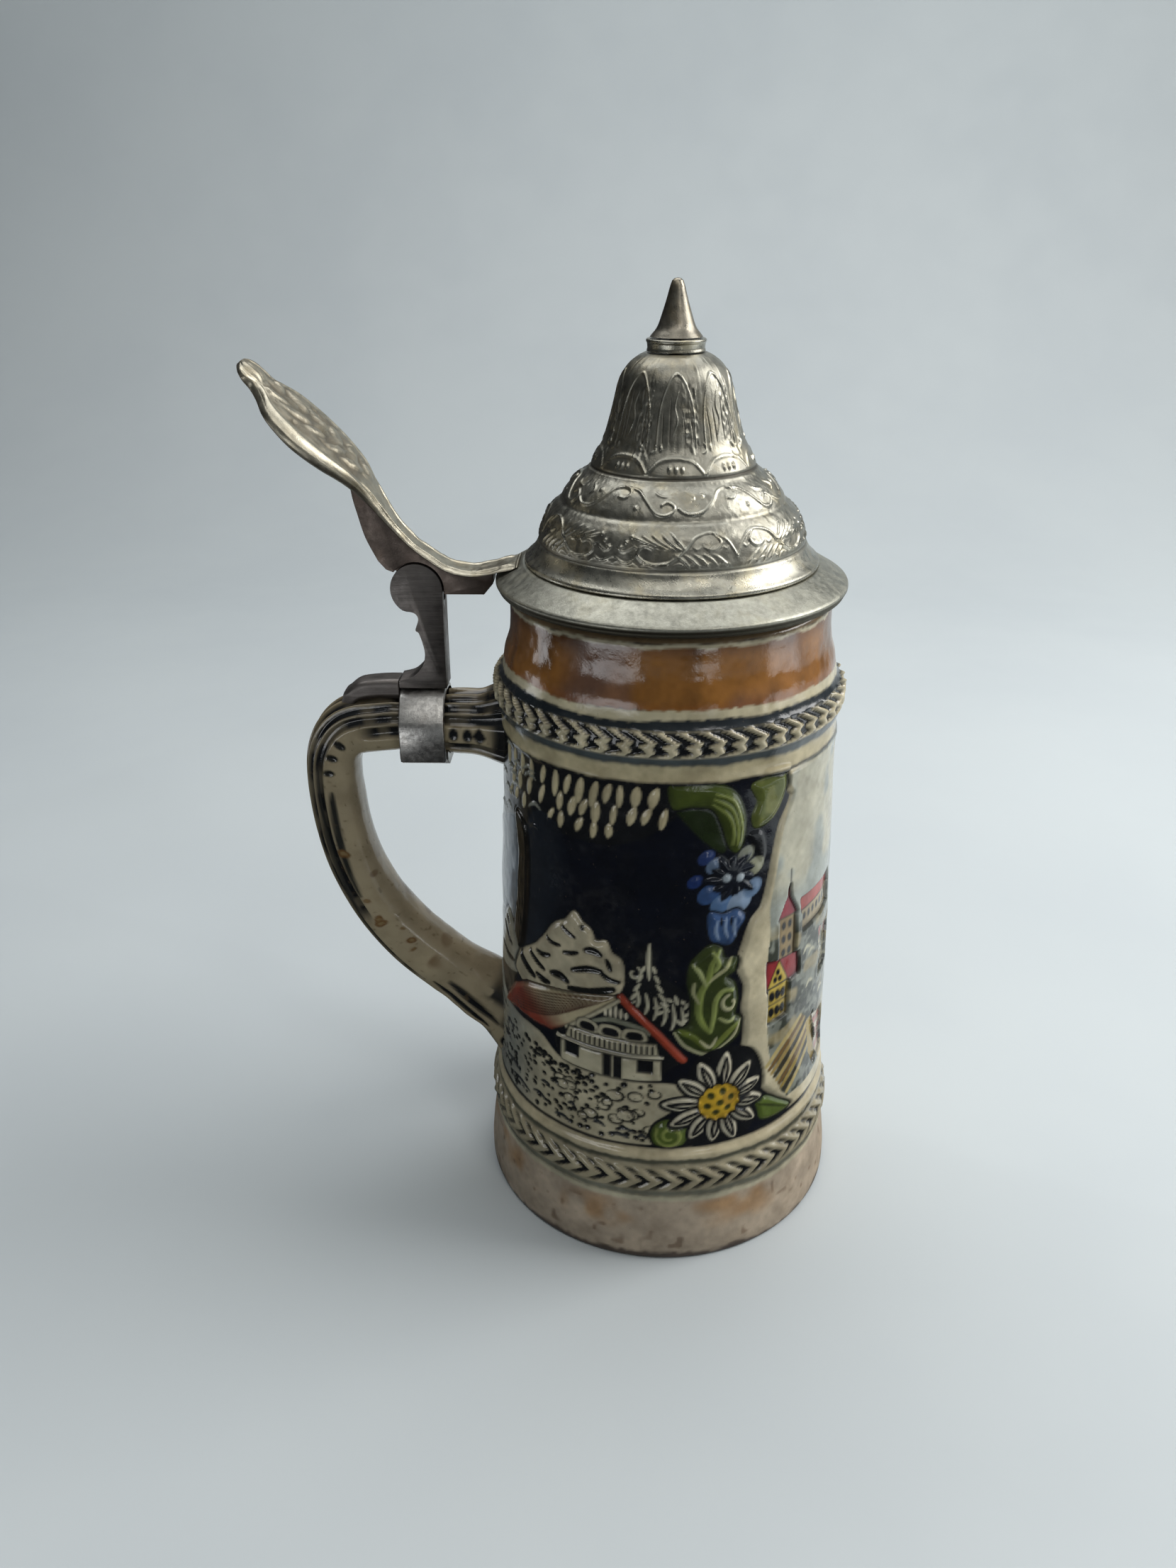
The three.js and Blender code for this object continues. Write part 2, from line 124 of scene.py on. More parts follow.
def resampled(points, step):
    """An open line cut again at about equal steps."""
    length = np.concatenate([[0], np.cumsum(np.hypot(*np.diff(points, axis=0).T))])
    at = np.linspace(0, length[-1], max(2, round(length[-1] / step) + 1))
    return np.stack([np.interp(at, length, points[:, k]) for k in range(2)], 1)


def blend_of(pairs, t):
    """A smooth blend of values given at places along a path, as (t, value) pairs."""
    out = np.full_like(t, pairs[0][1])
    for (t0, v0), (t1, v1) in zip(pairs, pairs[1:]):
        out = np.where(t > t0, v0 + (v1 - v0) * smooth(t, t0, t1), out)
    return out


def curve_of(pairs, t):
    """A smooth curve through values given at places along a path, as (t, value) pairs."""
    place, value = np.array(pairs, float).T
    slope = np.gradient(value, place)
    k = np.clip(np.searchsorted(place, t, side="right") - 1, 0, len(place) - 2)
    span = place[k + 1] - place[k]
    w = (t - place[k]) / span
    start = value[k] * (2 * w ** 3 - 3 * w * w + 1) + slope[k] * span * (w ** 3 - 2 * w * w + w)
    return start + value[k + 1] * (3 * w * w - 2 * w ** 3) + slope[k + 1] * span * (w ** 3 - w * w)


def blurred(field, reach):
    """The mean of a field over a square of 2 * reach + 1 points, wrapping round each row."""
    out = field
    for axis in (0, 1):
        total = sum(np.roll(out, shift, axis) for shift in range(-reach, reach + 1))
        out = total / (2 * reach + 1)
    return out


def hashed(i, j, seed):
    h = np.sin(i * 127.1 + j * 311.7 + seed * 74.7) * 43758.5453
    return h - np.floor(h)


def noise(x, y, size, seed=0, around=None):
    """Smooth noise from 0 to 1 whose lumps are about size across. It repeats in x after around, if given."""
    cells = round(around / size) if around else 1
    gx, gy = (x * cells / around if around else x / size), y / size
    i, j = np.floor(gx), np.floor(gy)
    u, v = smooth(gx - i), smooth(gy - j)
    after = i + 1
    if around:
        i, after = i % cells, after % cells
    low = hashed(i, j, seed) * (1 - u) + hashed(after, j, seed) * u
    high = hashed(i, j + 1, seed) * (1 - u) + hashed(after, j + 1, seed) * u
    return low * (1 - v) + high * v


# ---------------------------------------------------------------- painted relief

class Canvas:
    """A strip of clay or metal: a height in millimetres and a colour at each point of a grid."""

    def __init__(self, across, up, color):
        self.across = across
        self.up = up
        self.height = np.zeros((len(up), len(across)))
        self.color = np.ones((len(up), len(across), 3)) * color
        self.place = lambda points: np.array(points, float).reshape(-1, 2)
        self.edge = 0.4

    def window(self, points, margin):
        x0, x1 = np.searchsorted(self.across, (points[:, 0].min() - margin, points[:, 0].max() + margin))
        y0, y1 = np.searchsorted(self.up, (points[:, 1].min() - margin, points[:, 1].max() + margin))
        x, y = np.meshgrid(self.across[x0:x1], self.up[y0:y1])
        return (slice(y0, y1), slice(x0, x1)), x, y

    def put(self, where, weight, color):
        """Lays a colour, given as linear light or as a hex code, over part of the strip."""
        if isinstance(color, int):
            color = srgb(color)
        if color is not None:
            self.color[where] += (color - self.color[where]) * weight[..., None]

    def wash(self, weight, color):
        """Lays a colour over the whole strip, by a weight for each point."""
        self.put((slice(None), slice(None)), weight, color)

    def step(self, distance):
        return np.clip(distance / self.edge + 0.5, 0, 1)

    @staticmethod
    def near(points, x, y, closed):
        """The distance to a line of points, how far along it the nearest point is, and whether inside."""
        ends = np.roll(points, -1, 0) if closed else points[1:]
        best = np.full(x.shape, 1e9)
        along = np.zeros(x.shape)
        inside = np.zeros(x.shape, bool)
        for k, ((ax, ay), (bx, by)) in enumerate(zip(points, ends)):
            dx, dy = bx - ax, by - ay
            w = np.clip(((x - ax) * dx + (y - ay) * dy) / max(dx * dx + dy * dy, 1e-9), 0, 1)
            d = (x - ax - w * dx) ** 2 + (y - ay - w * dy) ** 2
            along = np.where(d < best, k + w, along)
            best = np.minimum(best, d)
            if closed and ay != by:
                inside ^= ((ay > y) != (by > y)) & (x < ax + (y - ay) / (by - ay) * dx)
        return np.sqrt(best), along / len(ends), inside

    def fill(self, outline, color, lift=0.5, rim=0.5, shoulder=1.0, curved=True, shade=None):
        """A raised shape with a dark line round it. shade(x, y) gives a second colour and its weight."""
        points = self.place(outline)
        points = spline(points, 5, closed=True) if curved else points
        where, x, y = self.window(points, rim + 1)
        if x.size == 0:
            return
        distance, _, inside = self.near(points, x, y, True)
        depth = np.where(inside, distance, -distance)
        body = self.step(depth)
        around = self.step(depth + rim)
        self.put(where, around, INK if rim > 0 else None)
        self.put(where, body, color)
        if shade is not None:
            weight, second = shade(x, y)
            self.put(where, body * weight, second)
        if lift is not None:
            target = lift * smooth(depth / shoulder)
            self.height[where] += (target - self.height[where]) * around

    def stroke(self, line, width, color, lift=0.15, taper=0.0, rim=0.0):
        """A brush stroke. taper 1 brings both ends to a point, 0 leaves them round."""
        points = self.place(line)
        points = spline(points, 5) if len(points) > 2 else points
        where, x, y = self.window(points, width + rim + 1)
        if x.size == 0:
            return
        distance, along, _ = self.near(points, x, y, False)
        half = width / 2 * (1 - taper * np.abs(2 * along - 1) ** 2)
        depth = half - distance
        if rim > 0:
            self.put(where, self.step(depth + rim), INK)
        self.put(where, self.step(depth), color)
        self.height[where] += lift * smooth(depth / max(width / 2, 0.3))

    def dot(self, centre, radius, color, lift=0.2, squeeze=1.0, turn=0.0, rim=0.0):
        """A round or oval spot."""
        centre = self.place([centre])
        where, x, y = self.window(centre, radius + rim + 1)
        if x.size == 0:
            return
        dx, dy = x - centre[0, 0], y - centre[0, 1]
        c, s = math.cos(turn), math.sin(turn)
        depth = radius - np.hypot(dx * c + dy * s, (dy * c - dx * s) / squeeze)
        if rim > 0:
            self.put(where, self.step(depth + rim), INK)
        self.put(where, self.step(depth), color)
        self.height[where] += lift * smooth(depth / max(radius, 0.3))


def curl(centre, radius, start, turns, shrink=0.25, points=12):
    """A spiral from the outside in, as a list of points. Angles are in degrees and turns may be negative."""
    out = []
    for k in range(points):
        w = k / (points - 1)
        angle = math.radians(start + 360 * turns * w)
        r = radius * (1 - (1 - shrink) * w)
        out.append((centre[0] + r * math.cos(angle), centre[1] + r * math.sin(angle)))
    return out


# ---------------------------------------------------------------- mesh making

def new_object(name, vertices, faces, smooth_faces=True):
    """vertices in millimetres; faces is a list of index arrays, each with 3 or 4 columns."""
    mesh = bpy.data.meshes.new(name)
    flat = np.concatenate([f.ravel() for f in faces]).astype(np.int32)
    sizes = np.concatenate([np.full(len(f), f.shape[1]) for f in faces]).astype(np.int32)
    starts = (np.cumsum(sizes) - sizes).astype(np.int32)
    mesh.vertices.add(len(vertices))
    mesh.vertices.foreach_set("co", (np.asarray(vertices) * MM).astype(np.float32).ravel())
    mesh.loops.add(len(flat))
    mesh.loops.foreach_set("vertex_index", flat)
    mesh.polygons.add(len(sizes))
    mesh.polygons.foreach_set("loop_start", starts)
    mesh.polygons.foreach_set("use_smooth", np.full(len(sizes), smooth_faces))
    mesh.update(calc_edges=True)
    mesh.validate()
    obj = bpy.data.objects.new(name, mesh)
    bpy.context.scene.collection.objects.link(obj)
    return obj


def set_color(obj, name, color):
    """A colour at each vertex, for the material to read."""
    attribute = obj.data.attributes.new(name, "FLOAT_COLOR", "POINT")
    rgba = np.ones((len(color), 4), np.float32)
    rgba[:, :3] = color
    attribute.data.foreach_set("color", rgba.ravel())


def set_value(obj, name, value):
    attribute = obj.data.attributes.new(name, "FLOAT", "POINT")
    attribute.data.foreach_set("value", np.asarray(value, np.float32).ravel())


def ring_faces(rows, columns):
    """Quads between rows of a grid that closes on itself round each row."""
    i, k = np.meshgrid(np.arange(rows - 1), np.arange(columns), indexing="ij")
    a, b = i * columns + k, i * columns + (k + 1) % columns
    return np.stack([a, b, b + columns, a + columns], -1).reshape(-1, 4)


def displaced(outside, lift):
    """The radius and height of a turned profile's points, pushed out along its normals by lift."""
    along = np.gradient(outside, axis=0)
    along /= np.hypot(*along.T)[:, None]
    return outside[:, 0, None] + lift * along[:, 1, None], outside[:, 1, None] - lift * along[:, 0, None]


def round_rows(profile, columns):
    """The radius and height of a profile's points, the same all the way round."""
    return np.repeat(profile[:, :1], columns, 1), np.repeat(profile[:, 1:], columns, 1)


def rings_of(parts, turn):
    """A grid of rings from pairs of radius and height. turn is the place round each ring, from 0 to 1."""
    radius, height = (np.concatenate([part[k] for part in parts]) for k in (0, 1))
    angle = turn * 2 * np.pi - np.pi / 2
    return np.stack([radius * np.cos(angle), radius * np.sin(angle), height], -1)


def capped(grid):
    """Vertices and faces of a closed tube of rings: grid is (rows, columns, 3), with a point at each end."""
    rows, columns = grid.shape[:2]
    vertices = np.concatenate([grid.reshape(-1, 3), grid[:1].mean(1), grid[-1:].mean(1)])
    k = np.arange(columns)
    after = (k + 1) % columns
    first, last = rows * columns, rows * columns + 1
    top = (rows - 1) * columns
    start = np.stack([np.full(columns, first), after, k], 1)
    end = np.stack([np.full(columns, last), top + k, top + after], 1)
    return vertices, [ring_faces(rows, columns), start, end]


def turned(name, profile, columns=192):
    """A closed profile of (radius, z) turned about Z. Its first and last points are the same."""
    profile = np.array(profile, float)
    on_axis = profile[0, 0] < 1e-6 and profile[-1, 0] < 1e-6
    angle = np.arange(columns) * 2 * np.pi / columns
    ring = np.stack([np.cos(angle), np.sin(angle)], -1)
    if on_axis:
        inner = profile[1:-1]
        grid = np.concatenate(
            [inner[:, None, :1] * ring, np.repeat(inner[:, None, 1:], columns, 1)], -1)
        vertices, faces = capped(grid)
        vertices[-2:] = [(0, 0, profile[0, 1]), (0, 0, profile[-1, 1])]
    else:
        grid = np.concatenate(
            [profile[:, None, :1] * ring, np.repeat(profile[:, None, 1:], columns, 1)], -1)[:-1]
        rows = len(grid)
        faces = [np.concatenate([ring_faces(rows, columns), wrap_faces(rows, columns)])]
        vertices = grid.reshape(-1, 3)
    return new_object(name, vertices, faces)


def wrap_faces(rows, columns):
    """The quads that join the last row of a ring grid to its first."""
    k = np.arange(columns)
    after = (k + 1) % columns
    top = (rows - 1) * columns
    return np.stack([top + k, top + after, after, k], 1)


def softened(profile, radius=0.35, steps=3):
    """A profile with each inner corner cut into a small round."""
    p = np.array(profile, float)
    out = [p[0]]
    for before, corner, after in zip(p, p[1:], p[2:]):
        back, ahead = before - corner, after - corner
        reach = min(radius, np.hypot(*back) / 2.2, np.hypot(*ahead) / 2.2)
        start = corner + back / max(np.hypot(*back), 1e-9) * reach
        end = corner + ahead / max(np.hypot(*ahead), 1e-9) * reach
        for w in np.linspace(0, 1, steps + 1):
            out.append(start * (1 - w) ** 2 + corner * 2 * w * (1 - w) + end * w * w)
    out.append(p[-1])
    return np.array(out)


def lofted_grid(path, t, around, thick, wide, square):
    """Rings of a bar along a path in the XZ plane, with the angle round each ring: 0 is the path's left."""
    u = t * (len(path) - 1)
    centre = spline_at(path, u)
    ahead = spline_at(path, np.minimum(u + 0.01, len(path) - 1)) - spline_at(path, np.maximum(u - 0.01, 0))
    ahead /= np.hypot(*ahead.T)[:, None]
    normal = np.stack([-ahead[:, 1], ahead[:, 0]], 1)
    angle = np.arange(around) * 2 * np.pi / around
    across = np.sign(np.cos(angle)) * np.abs(np.cos(angle)) ** (2 / square)
    side = np.sign(np.sin(angle)) * np.abs(np.sin(angle)) ** (2 / square)
    grid = np.empty((len(t), around, 3))
    grid[..., 0] = centre[:, None, 0] + normal[:, None, 0] * thick[:, None] * across
    grid[..., 1] = wide[:, None] * side
    grid[..., 2] = centre[:, None, 1] + normal[:, None, 1] * thick[:, None] * across
    return grid, angle


def grid_normals(grid):
    """Unit normals of a ring grid, pointing out for rings that turn the way lofted_grid's do."""
    around = np.roll(grid, -1, 1) - np.roll(grid, 1, 1)
    along = np.gradient(grid, axis=0)
    normal = np.cross(around, along)
    normal /= np.linalg.norm(normal, axis=-1, keepdims=True) + 1e-12
    return normal


def outward(obj):
    """Turns a closed mesh's faces outward."""
    mesh = obj.data
    bm = bmesh.new()
    bm.from_mesh(mesh)
    bmesh.ops.recalc_face_normals(bm, faces=bm.faces)
    bm.to_mesh(mesh)
    bm.free()
    return obj


def slab(name, outline, low_y, high_y):
    """An outline in the XZ plane given thickness in Y."""
    p = np.array(outline, float)
    n = len(p)
    near = np.stack([p[:, 0], np.full(n, low_y), p[:, 1]], 1)
    far = near + (0, high_y - low_y, 0)
    k = np.arange(n)
    after = (k + 1) % n
    sides = np.stack([k, after, after + n, k + n], 1)
    faces = [sides, k[None], (n + k[::-1])[None]]
    obj = new_object(name, np.concatenate([near, far]), faces, smooth_faces=False)
    return outward(obj)


def rod(name, radius, low_y, high_y, sides=96):
    """A round bar along Y through the hinge centre."""
    angle = np.arange(sides) * 2 * np.pi / sides
    outline = np.stack([hinge_x + radius * np.cos(angle), hinge_z + radius * np.sin(angle)], 1)
    return slab(name, outline, low_y, high_y)


def combine(obj, other, operation):
    """obj joined with, or cut by, another closed solid, which is used up."""
    modifier = obj.modifiers.new("cut", "BOOLEAN")
    modifier.operation = operation
    modifier.solver = "EXACT"
    modifier.object = other
    apply_modifiers(obj)
    bpy.data.objects.remove(other)
    return obj


def apply_modifiers(obj):
    graph = bpy.context.evaluated_depsgraph_get()
    graph.update()
    mesh = bpy.data.meshes.new_from_object(obj.evaluated_get(graph))
    obj.modifiers.clear()
    obj.data = mesh
    return obj


def rounded_edges(obj, width=0.3, segments=3, angle=35):
    """Worn edges: a small bevel on every sharp edge, with the faces shaded smooth."""
    modifier = obj.modifiers.new("edges", "BEVEL")
    modifier.width = width * MM
    modifier.segments = segments
    modifier.limit_method = "ANGLE"
    modifier.angle_limit = math.radians(angle)
    modifier.harden_normals = True
    apply_modifiers(obj)
    obj.data.polygons.foreach_set("use_smooth", np.ones(len(obj.data.polygons), bool))
    return obj


def wear(obj, material):
    obj.data.materials.clear()
    obj.data.materials.append(material)


def piece(obj, body, slot, material, *nodes):
    """Parents a finished piece to its body, hides the frame's parts it replaces and puts its material on."""
    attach(obj, body)
    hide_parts(*nodes)
    wear(obj, material)


# ---------------------------------------------------------------- materials

class Nodes:
    """A node material, with short calls for what the materials below share."""

    def __init__(self, name):
        self.material = bpy.data.materials.new(name)
        self.material.use_nodes = True
        self.tree = self.material.node_tree
        self.shader = self.tree.nodes["Principled BSDF"]
        self.position = self.add("ShaderNodeTexCoord").outputs["Object"]

    def add(self, kind, **settings):
        node = self.tree.nodes.new(kind)
        for key, value in settings.items():
            setattr(node, key, value)
        return node

    def link(self, source, target):
        self.tree.links.new(source, target)

    def attribute(self, name, output="Fac"):
        return self.add("ShaderNodeAttribute", attribute_name=name).outputs[output]

    def noise(self, size_mm, detail=4, rough=0.6, stretch=(1, 1, 1), seed=0.0):
        mapping = self.add("ShaderNodeMapping")
        mapping.inputs["Scale"].default_value = stretch
        mapping.inputs["Location"].default_value = (seed, seed, seed)
        self.link(self.position, mapping.inputs["Vector"])
        node = self.add("ShaderNodeTexNoise")
        node.inputs["Scale"].default_value = 1 / (size_mm * MM)
        node.inputs["Detail"].default_value = detail
        node.inputs["Roughness"].default_value = rough
        self.link(mapping.outputs["Vector"], node.inputs["Vector"])
        return node.outputs["Fac"]

    def ramp(self, value, low, high, out_low=0.0, out_high=1.0):
        node = self.add("ShaderNodeMapRange")
        node.interpolation_type = "SMOOTHSTEP"
        for key, number in zip(("From Min", "From Max", "To Min", "To Max"), (low, high, out_low, out_high)):
            node.inputs[key].default_value = number
        self.link(value, node.inputs["Value"])
        return node.outputs["Result"]

    def mix(self, weight, first, second, kind="MIX"):
        """Mixes two colours; either may be a fixed colour or an output."""
        node = self.add("ShaderNodeMix", data_type="RGBA", blend_type=kind)
        for socket, value in ((node.inputs["Factor"], weight), (node.inputs["A"], first),
                              (node.inputs["B"], second)):
            self.feed(node, socket, value)
        return self.result(node)

    def feed(self, node, socket, value):
        if socket.name in ("A", "B"):
            socket = [s for s in node.inputs if s.name == socket.name and s.type == "RGBA"][0]
        if isinstance(value, bpy.types.NodeSocket):
            self.link(value, socket)
        elif socket.type == "RGBA":
            socket.default_value = (*value, 1)
        else:
            socket.default_value = value

    @staticmethod
    def result(node):
        return [s for s in node.outputs if s.type == "RGBA"][0]

    def math(self, kind, first, second):
        node = self.add("ShaderNodeMath", operation=kind)
        for socket, value in zip(node.inputs, (first, second)):
            if isinstance(value, bpy.types.NodeSocket):
                self.link(value, socket)
            else:
                socket.default_value = value
        return node.outputs["Value"]

    def bump(self, height, depth_mm, strength=1.0, before=None):
        node = self.add("ShaderNodeBump")
        node.inputs["Strength"].default_value = strength
        node.inputs["Distance"].default_value = depth_mm * MM
        self.link(height, node.inputs["Height"])
        if before is not None:
            self.link(before, node.inputs["Normal"])
        return node.outputs["Normal"]

    def finish(self, color, roughness, normal, metallic=0.0, **fixed):
        self.link(color, self.shader.inputs["Base Color"])
        self.link(roughness, self.shader.inputs["Roughness"])
        self.link(normal, self.shader.inputs["Normal"])
        self.shader.inputs["Metallic"].default_value = metallic
        for key, value in fixed.items():
            self.shader.inputs[key.replace("_", " ")].default_value = value
        return self.material


def painted_stoneware(name):
    """Painted relief under a clear glaze. 'paint' is the colour, 'bare' is where there is no glaze."""
    n = Nodes(name)
    paint = n.attribute("paint", "Color")
    bare = n.attribute("bare")
    mottled = n.mix(n.ramp(n.noise(7, 5), 0.4, 0.75, 0, 0.3), paint, (0.32, 0.27, 0.19), "MULTIPLY")
    speckled = n.mix(n.ramp(n.noise(0.9, 3, seed=3), 0.66, 0.78, 0, 0.45), mottled, (0.12, 0.09, 0.06))
    clouded = n.mix(n.ramp(n.noise(2.2, 6, seed=8), 0.35, 0.7, 0.0, 0.07), speckled, (0.62, 0.6, 0.52))
    color = n.mix(n.ramp(n.noise(14, 4, seed=5), 0.5, 0.72, 0, 0.35), speckled, clouded)
    rough = n.math("ADD", n.ramp(n.noise(5, 4, seed=2), 0.3, 0.8, 0.1, 0.24), n.math("MULTIPLY", bare, 0.42))
    fine = n.bump(n.noise(0.45, 3), 0.05, 0.35)
    normal = n.bump(n.noise(3.5, 3, seed=4), 0.22, 0.35, fine)
    return n.finish(color, rough, normal, Specular_IOR_Level=0.55)


def pewter(name, bright, dark, size=3.0, rough=(0.26, 0.5), brushed=None, warm=(0.36, 0.31, 0.2)):
    """Cast pewter. Its darkening attribute is 1 in hollows, where dark patina stays, and where shade is
    painted.
    """
    n = Nodes(name)
    patina_and_shade = n.attribute("patina_and_shade")
    tone = n.mix(n.ramp(n.noise(size, 6), 0.3, 0.7), bright, tuple(0.72 * c for c in bright))
    warmed = n.mix(n.ramp(n.noise(size * 2.6, 4, seed=6), 0.48, 0.72, 0, 0.55), tone, warm)
    stained = n.mix(n.ramp(n.noise(size * 0.45, 5, seed=9), 0.6, 0.78, 0, 0.28), warmed, dark)
    if brushed:
        lines = n.noise(1.1, 5, 0.7, stretch=brushed, seed=11)
        stained = n.mix(n.ramp(lines, 0.35, 0.68, 0, 0.6), stained, tuple(1.3 * c for c in bright))
    color = n.mix(patina_and_shade, stained, dark)
    grain = n.noise(0.32, 5, stretch=brushed or (1, 1, 1), seed=1)
    rougher = n.math("ADD", n.ramp(n.noise(size * 0.8, 5, seed=4), 0.3, 0.75, *rough),
                     n.math("MULTIPLY", patina_and_shade, 0.2))
    fine = n.bump(grain, 0.06, 0.8)
    normal = n.bump(n.noise(1.6, 5, seed=7), 0.06, 0.35, fine)
    return n.finish(color, rougher, normal, metallic=1.0)


# ---------------------------------------------------------------- the mug's body

body_outside = [
    (base_radius - 0.8, 0), (base_radius, 0.8), (base_radius, 3.5), (46.7, 7), (46.1, 12), (45.5, 17),
    (45.4, 19), (45.8, 22), (45.5, 26), (44.5, 29), (44.6, 31.5), (43.5, 34), (42.7, 42), (42.2, 60),
    (41.4, 84), (40.3, 108), (39.6, 127), (40.1, 131), (40.1, 134), (40.8, 137), (41.1, 139.6),
    (40.6, 142.2), (39.4, 144.2), (38.9, 146), (38.4, 149), (37.4, 152.4), (37, 156), (36.8, 160.5),
    (36, 162),
]
body_inside = [
    (34.8, rim_z), (33.1, rim_z), (32.2, 161.4), (32.2, 152), (35, 142), (35.4, 120), (37.4, 60), (38.2, 18),
    (36.8, 10.5), (33.5, 7), (0, 7),
]


def rings_and_bands(c):
    """The foot band, the two braided rings with their beads, and the amber neck."""
    x, z = np.meshgrid(c.across, c.up)

    def grain(size, seed):
        return noise(x, z, size, seed, ROUND)

    def band(low, high, color, soft=0.4, ragged=0.0, lumps=6):
        wave = noise(x, z * 0, lumps, 3, ROUND) - 0.5
        level = z + ragged * (wave + 0.6 * (grain(1.1, 9) - 0.5))
        weight = np.clip((level - low) / soft + 0.5, 0, 1) * np.clip((high - level) / soft + 0.5, 0, 1)
        c.wash(weight, color)
        return weight

    band(33.2, 34.4, INK, 0.5)
    band(-1, 33.4, STONE)
    band(-1, 18.4, BISQUE, 0.8, 0.8)
    stain = smooth(grain(13, 4) * 0.7 + grain(4, 6) * 0.3, 0.5, 0.78)
    c.wash(stain * smooth(z, 7, 12) * smooth(19 - z, 0, 3) * 0.75, 0xA67C4A)
    c.wash(smooth(grain(2.2, 12), 0.8, 0.95) * smooth(18 - z, 0, 4) * 0.6, 0x6E5238)
    band(-1, 1.6, 0x4A3B30, 1.2, 1.4)
    band(17.6, 19.2, 0xBDB59A, 0.7, 0.6)
    band(19.3, 21.9, 0x777668, 1.5, 1.0)
    band(28.5, 30.5, 0x565548, 0.9, 0.8)
    band(21.5, 28.7, 0xA0977E, 1.2, 0.8)
    band(30.6, 33.3, 0xBDB193, 0.7, 0.5)

    phase = (x + 1.35 * np.abs(z - 24.6)) / (ROUND / LOW_BRAID_LINKS)
    phase -= np.floor(phase)
    middle = smooth(3.4 - np.abs(z - 24.9), 0, 0.9)
    worn = 0.55 + 0.45 * smooth(grain(26, 2), 0.3, 0.55)
    groove = smooth(0.24 - np.abs(phase - 0.27), 0, 0.1) * middle * worn
    groove *= 1 - 0.75 * smooth(0.5 - np.abs(z - 26.4), 0, 0.4)
    c.wash(groove * (0.7 + 0.3 * smooth(1.9 - np.abs(z - 24.6), 0, 0.6)), INK)
    c.height += middle * (0.45 * np.sin(np.pi * np.clip((phase - 0.4) / 0.65, 0, 1)) - 0.25 * groove)

    band(130.6, 131.4, INK, 0.4, 0.3)
    band(131.2, 135.4, 0xC2B592, 0.7, 0.5)
    band(135.2, 137.8, 0x4C5355, 1.4, 0.8)
    band(137.4, 143.3, 0xC7BC9E, 0.5)
    up = (z - 137.4) / 5.8
    lean = np.interp(up, (0, 0.2, 0.42, 0.6, 1), (-1.2, 1.3, 0.2, 1.5, -3.0))
    phase = (x - lean) / (ROUND / HIGH_BRAID_LINKS)
    phase -= np.floor(phase)
    middle = smooth(3.0 - np.abs(z - 140.3), 0, 0.6)
    gap = np.interp(up, (0, 0.14, 0.3, 0.45, 0.62, 0.85, 1), (0.12, 0.3, 0.27, 0.17, 0.3, 0.32, 0.16))
    groove = smooth(gap + 0.04 - np.abs(phase - 0.3), 0, 0.08) * middle
    c.wash(groove, INK)
    plump = np.interp(up, (0, 0.2, 0.45, 0.75, 1), (0.4, 0.6, 0.5, 1, 0.5))
    rise = 0.95 * plump * np.sin(np.pi * np.clip((phase - 0.58) / 0.5, 0, 1))
    c.height += middle * (rise - 0.45 * groove)
    band(142.9, 145.3, 0x23292E, 0.6, 0.4)
    band(145.0, 147.2, 0xC9BFA0, 0.5, 0.7, 11)

    streak = noise(x, z * 0.25, 5, 21, ROUND) * 0.6 + grain(9, 22) * 0.4
    amber = band(146.9, 160.2, AMBER, 0.5, 0.8, 14)
    c.wash(amber * smooth(streak, 0.45, 0.75) * 0.75, 0x57371B)
    c.wash(amber * smooth(grain(16, 25), 0.5, 0.8) * 0.6, 0x70544A)
    c.wash(amber * smooth(z, 157, 160.4) * 0.6, 0x54301A)
    c.wash(amber * smooth(149.5 - z, 0, 2) * 0.35, 0x8A4C12)
    band(160.0, 160.9, 0xC8BEA2, 0.4, 0.7, 4)
    band(160.9, 170, 0x8A7355, 0.4, 0.4)


def pine_branches(c):
    """Hanging needles of the tree at the side: three rows of pale drops."""
    c.fill([(-58, 130.5), (2, 130.5), (0, 122), (-12, 115.5), (-28, 114.5), (-44, 112), (-58, 113)], INK,
           0.1, 0)
    rows = [
        (129.6, 5.0, 1.9, (-50, -45.5, -41.5, -37.3, -33.2, -29, -25.6, -22, -18.4, -15, -11.6, -7.9, -4)),
        (124.6, 3.9, 1.9, (-47, -43, -38.6, -34, -27.6, -24.2, -21.2, -17.6, -13.2, -9, -5.8, -1.7)),
        (119.9, 3.2, 1.6, (-49, -45, -41, -31, -27.2, -22.3, -18, -14.1)),
    ]
    for row, (top, length, width, places) in enumerate(rows):
        for k, s in enumerate(places):
            bend = 1.6 * (hashed(k, row, 5) - 0.5)
            drop = length * (0.8 + 0.35 * hashed(k, row, 8))
            line = [(s + bend + 0.6, top), (s + 0.3 * bend, top - drop * 0.5), (s - 0.4, top - drop)]
            c.stroke(line, width * (0.75 + 0.5 * hashed(k, row, 2)), CREAM, 0.45, 0.55)
    for k in range(26):
        s, z = -62 + 24 * hashed(k, 1, 31), 92 + 37 * hashed(k, 2, 31)
        c.stroke([(s, z), (s + 2.5, z + 1.6), (s + 5, z + 0.6)], 0.9, 0x8E8F84, 0.3, 0.8)


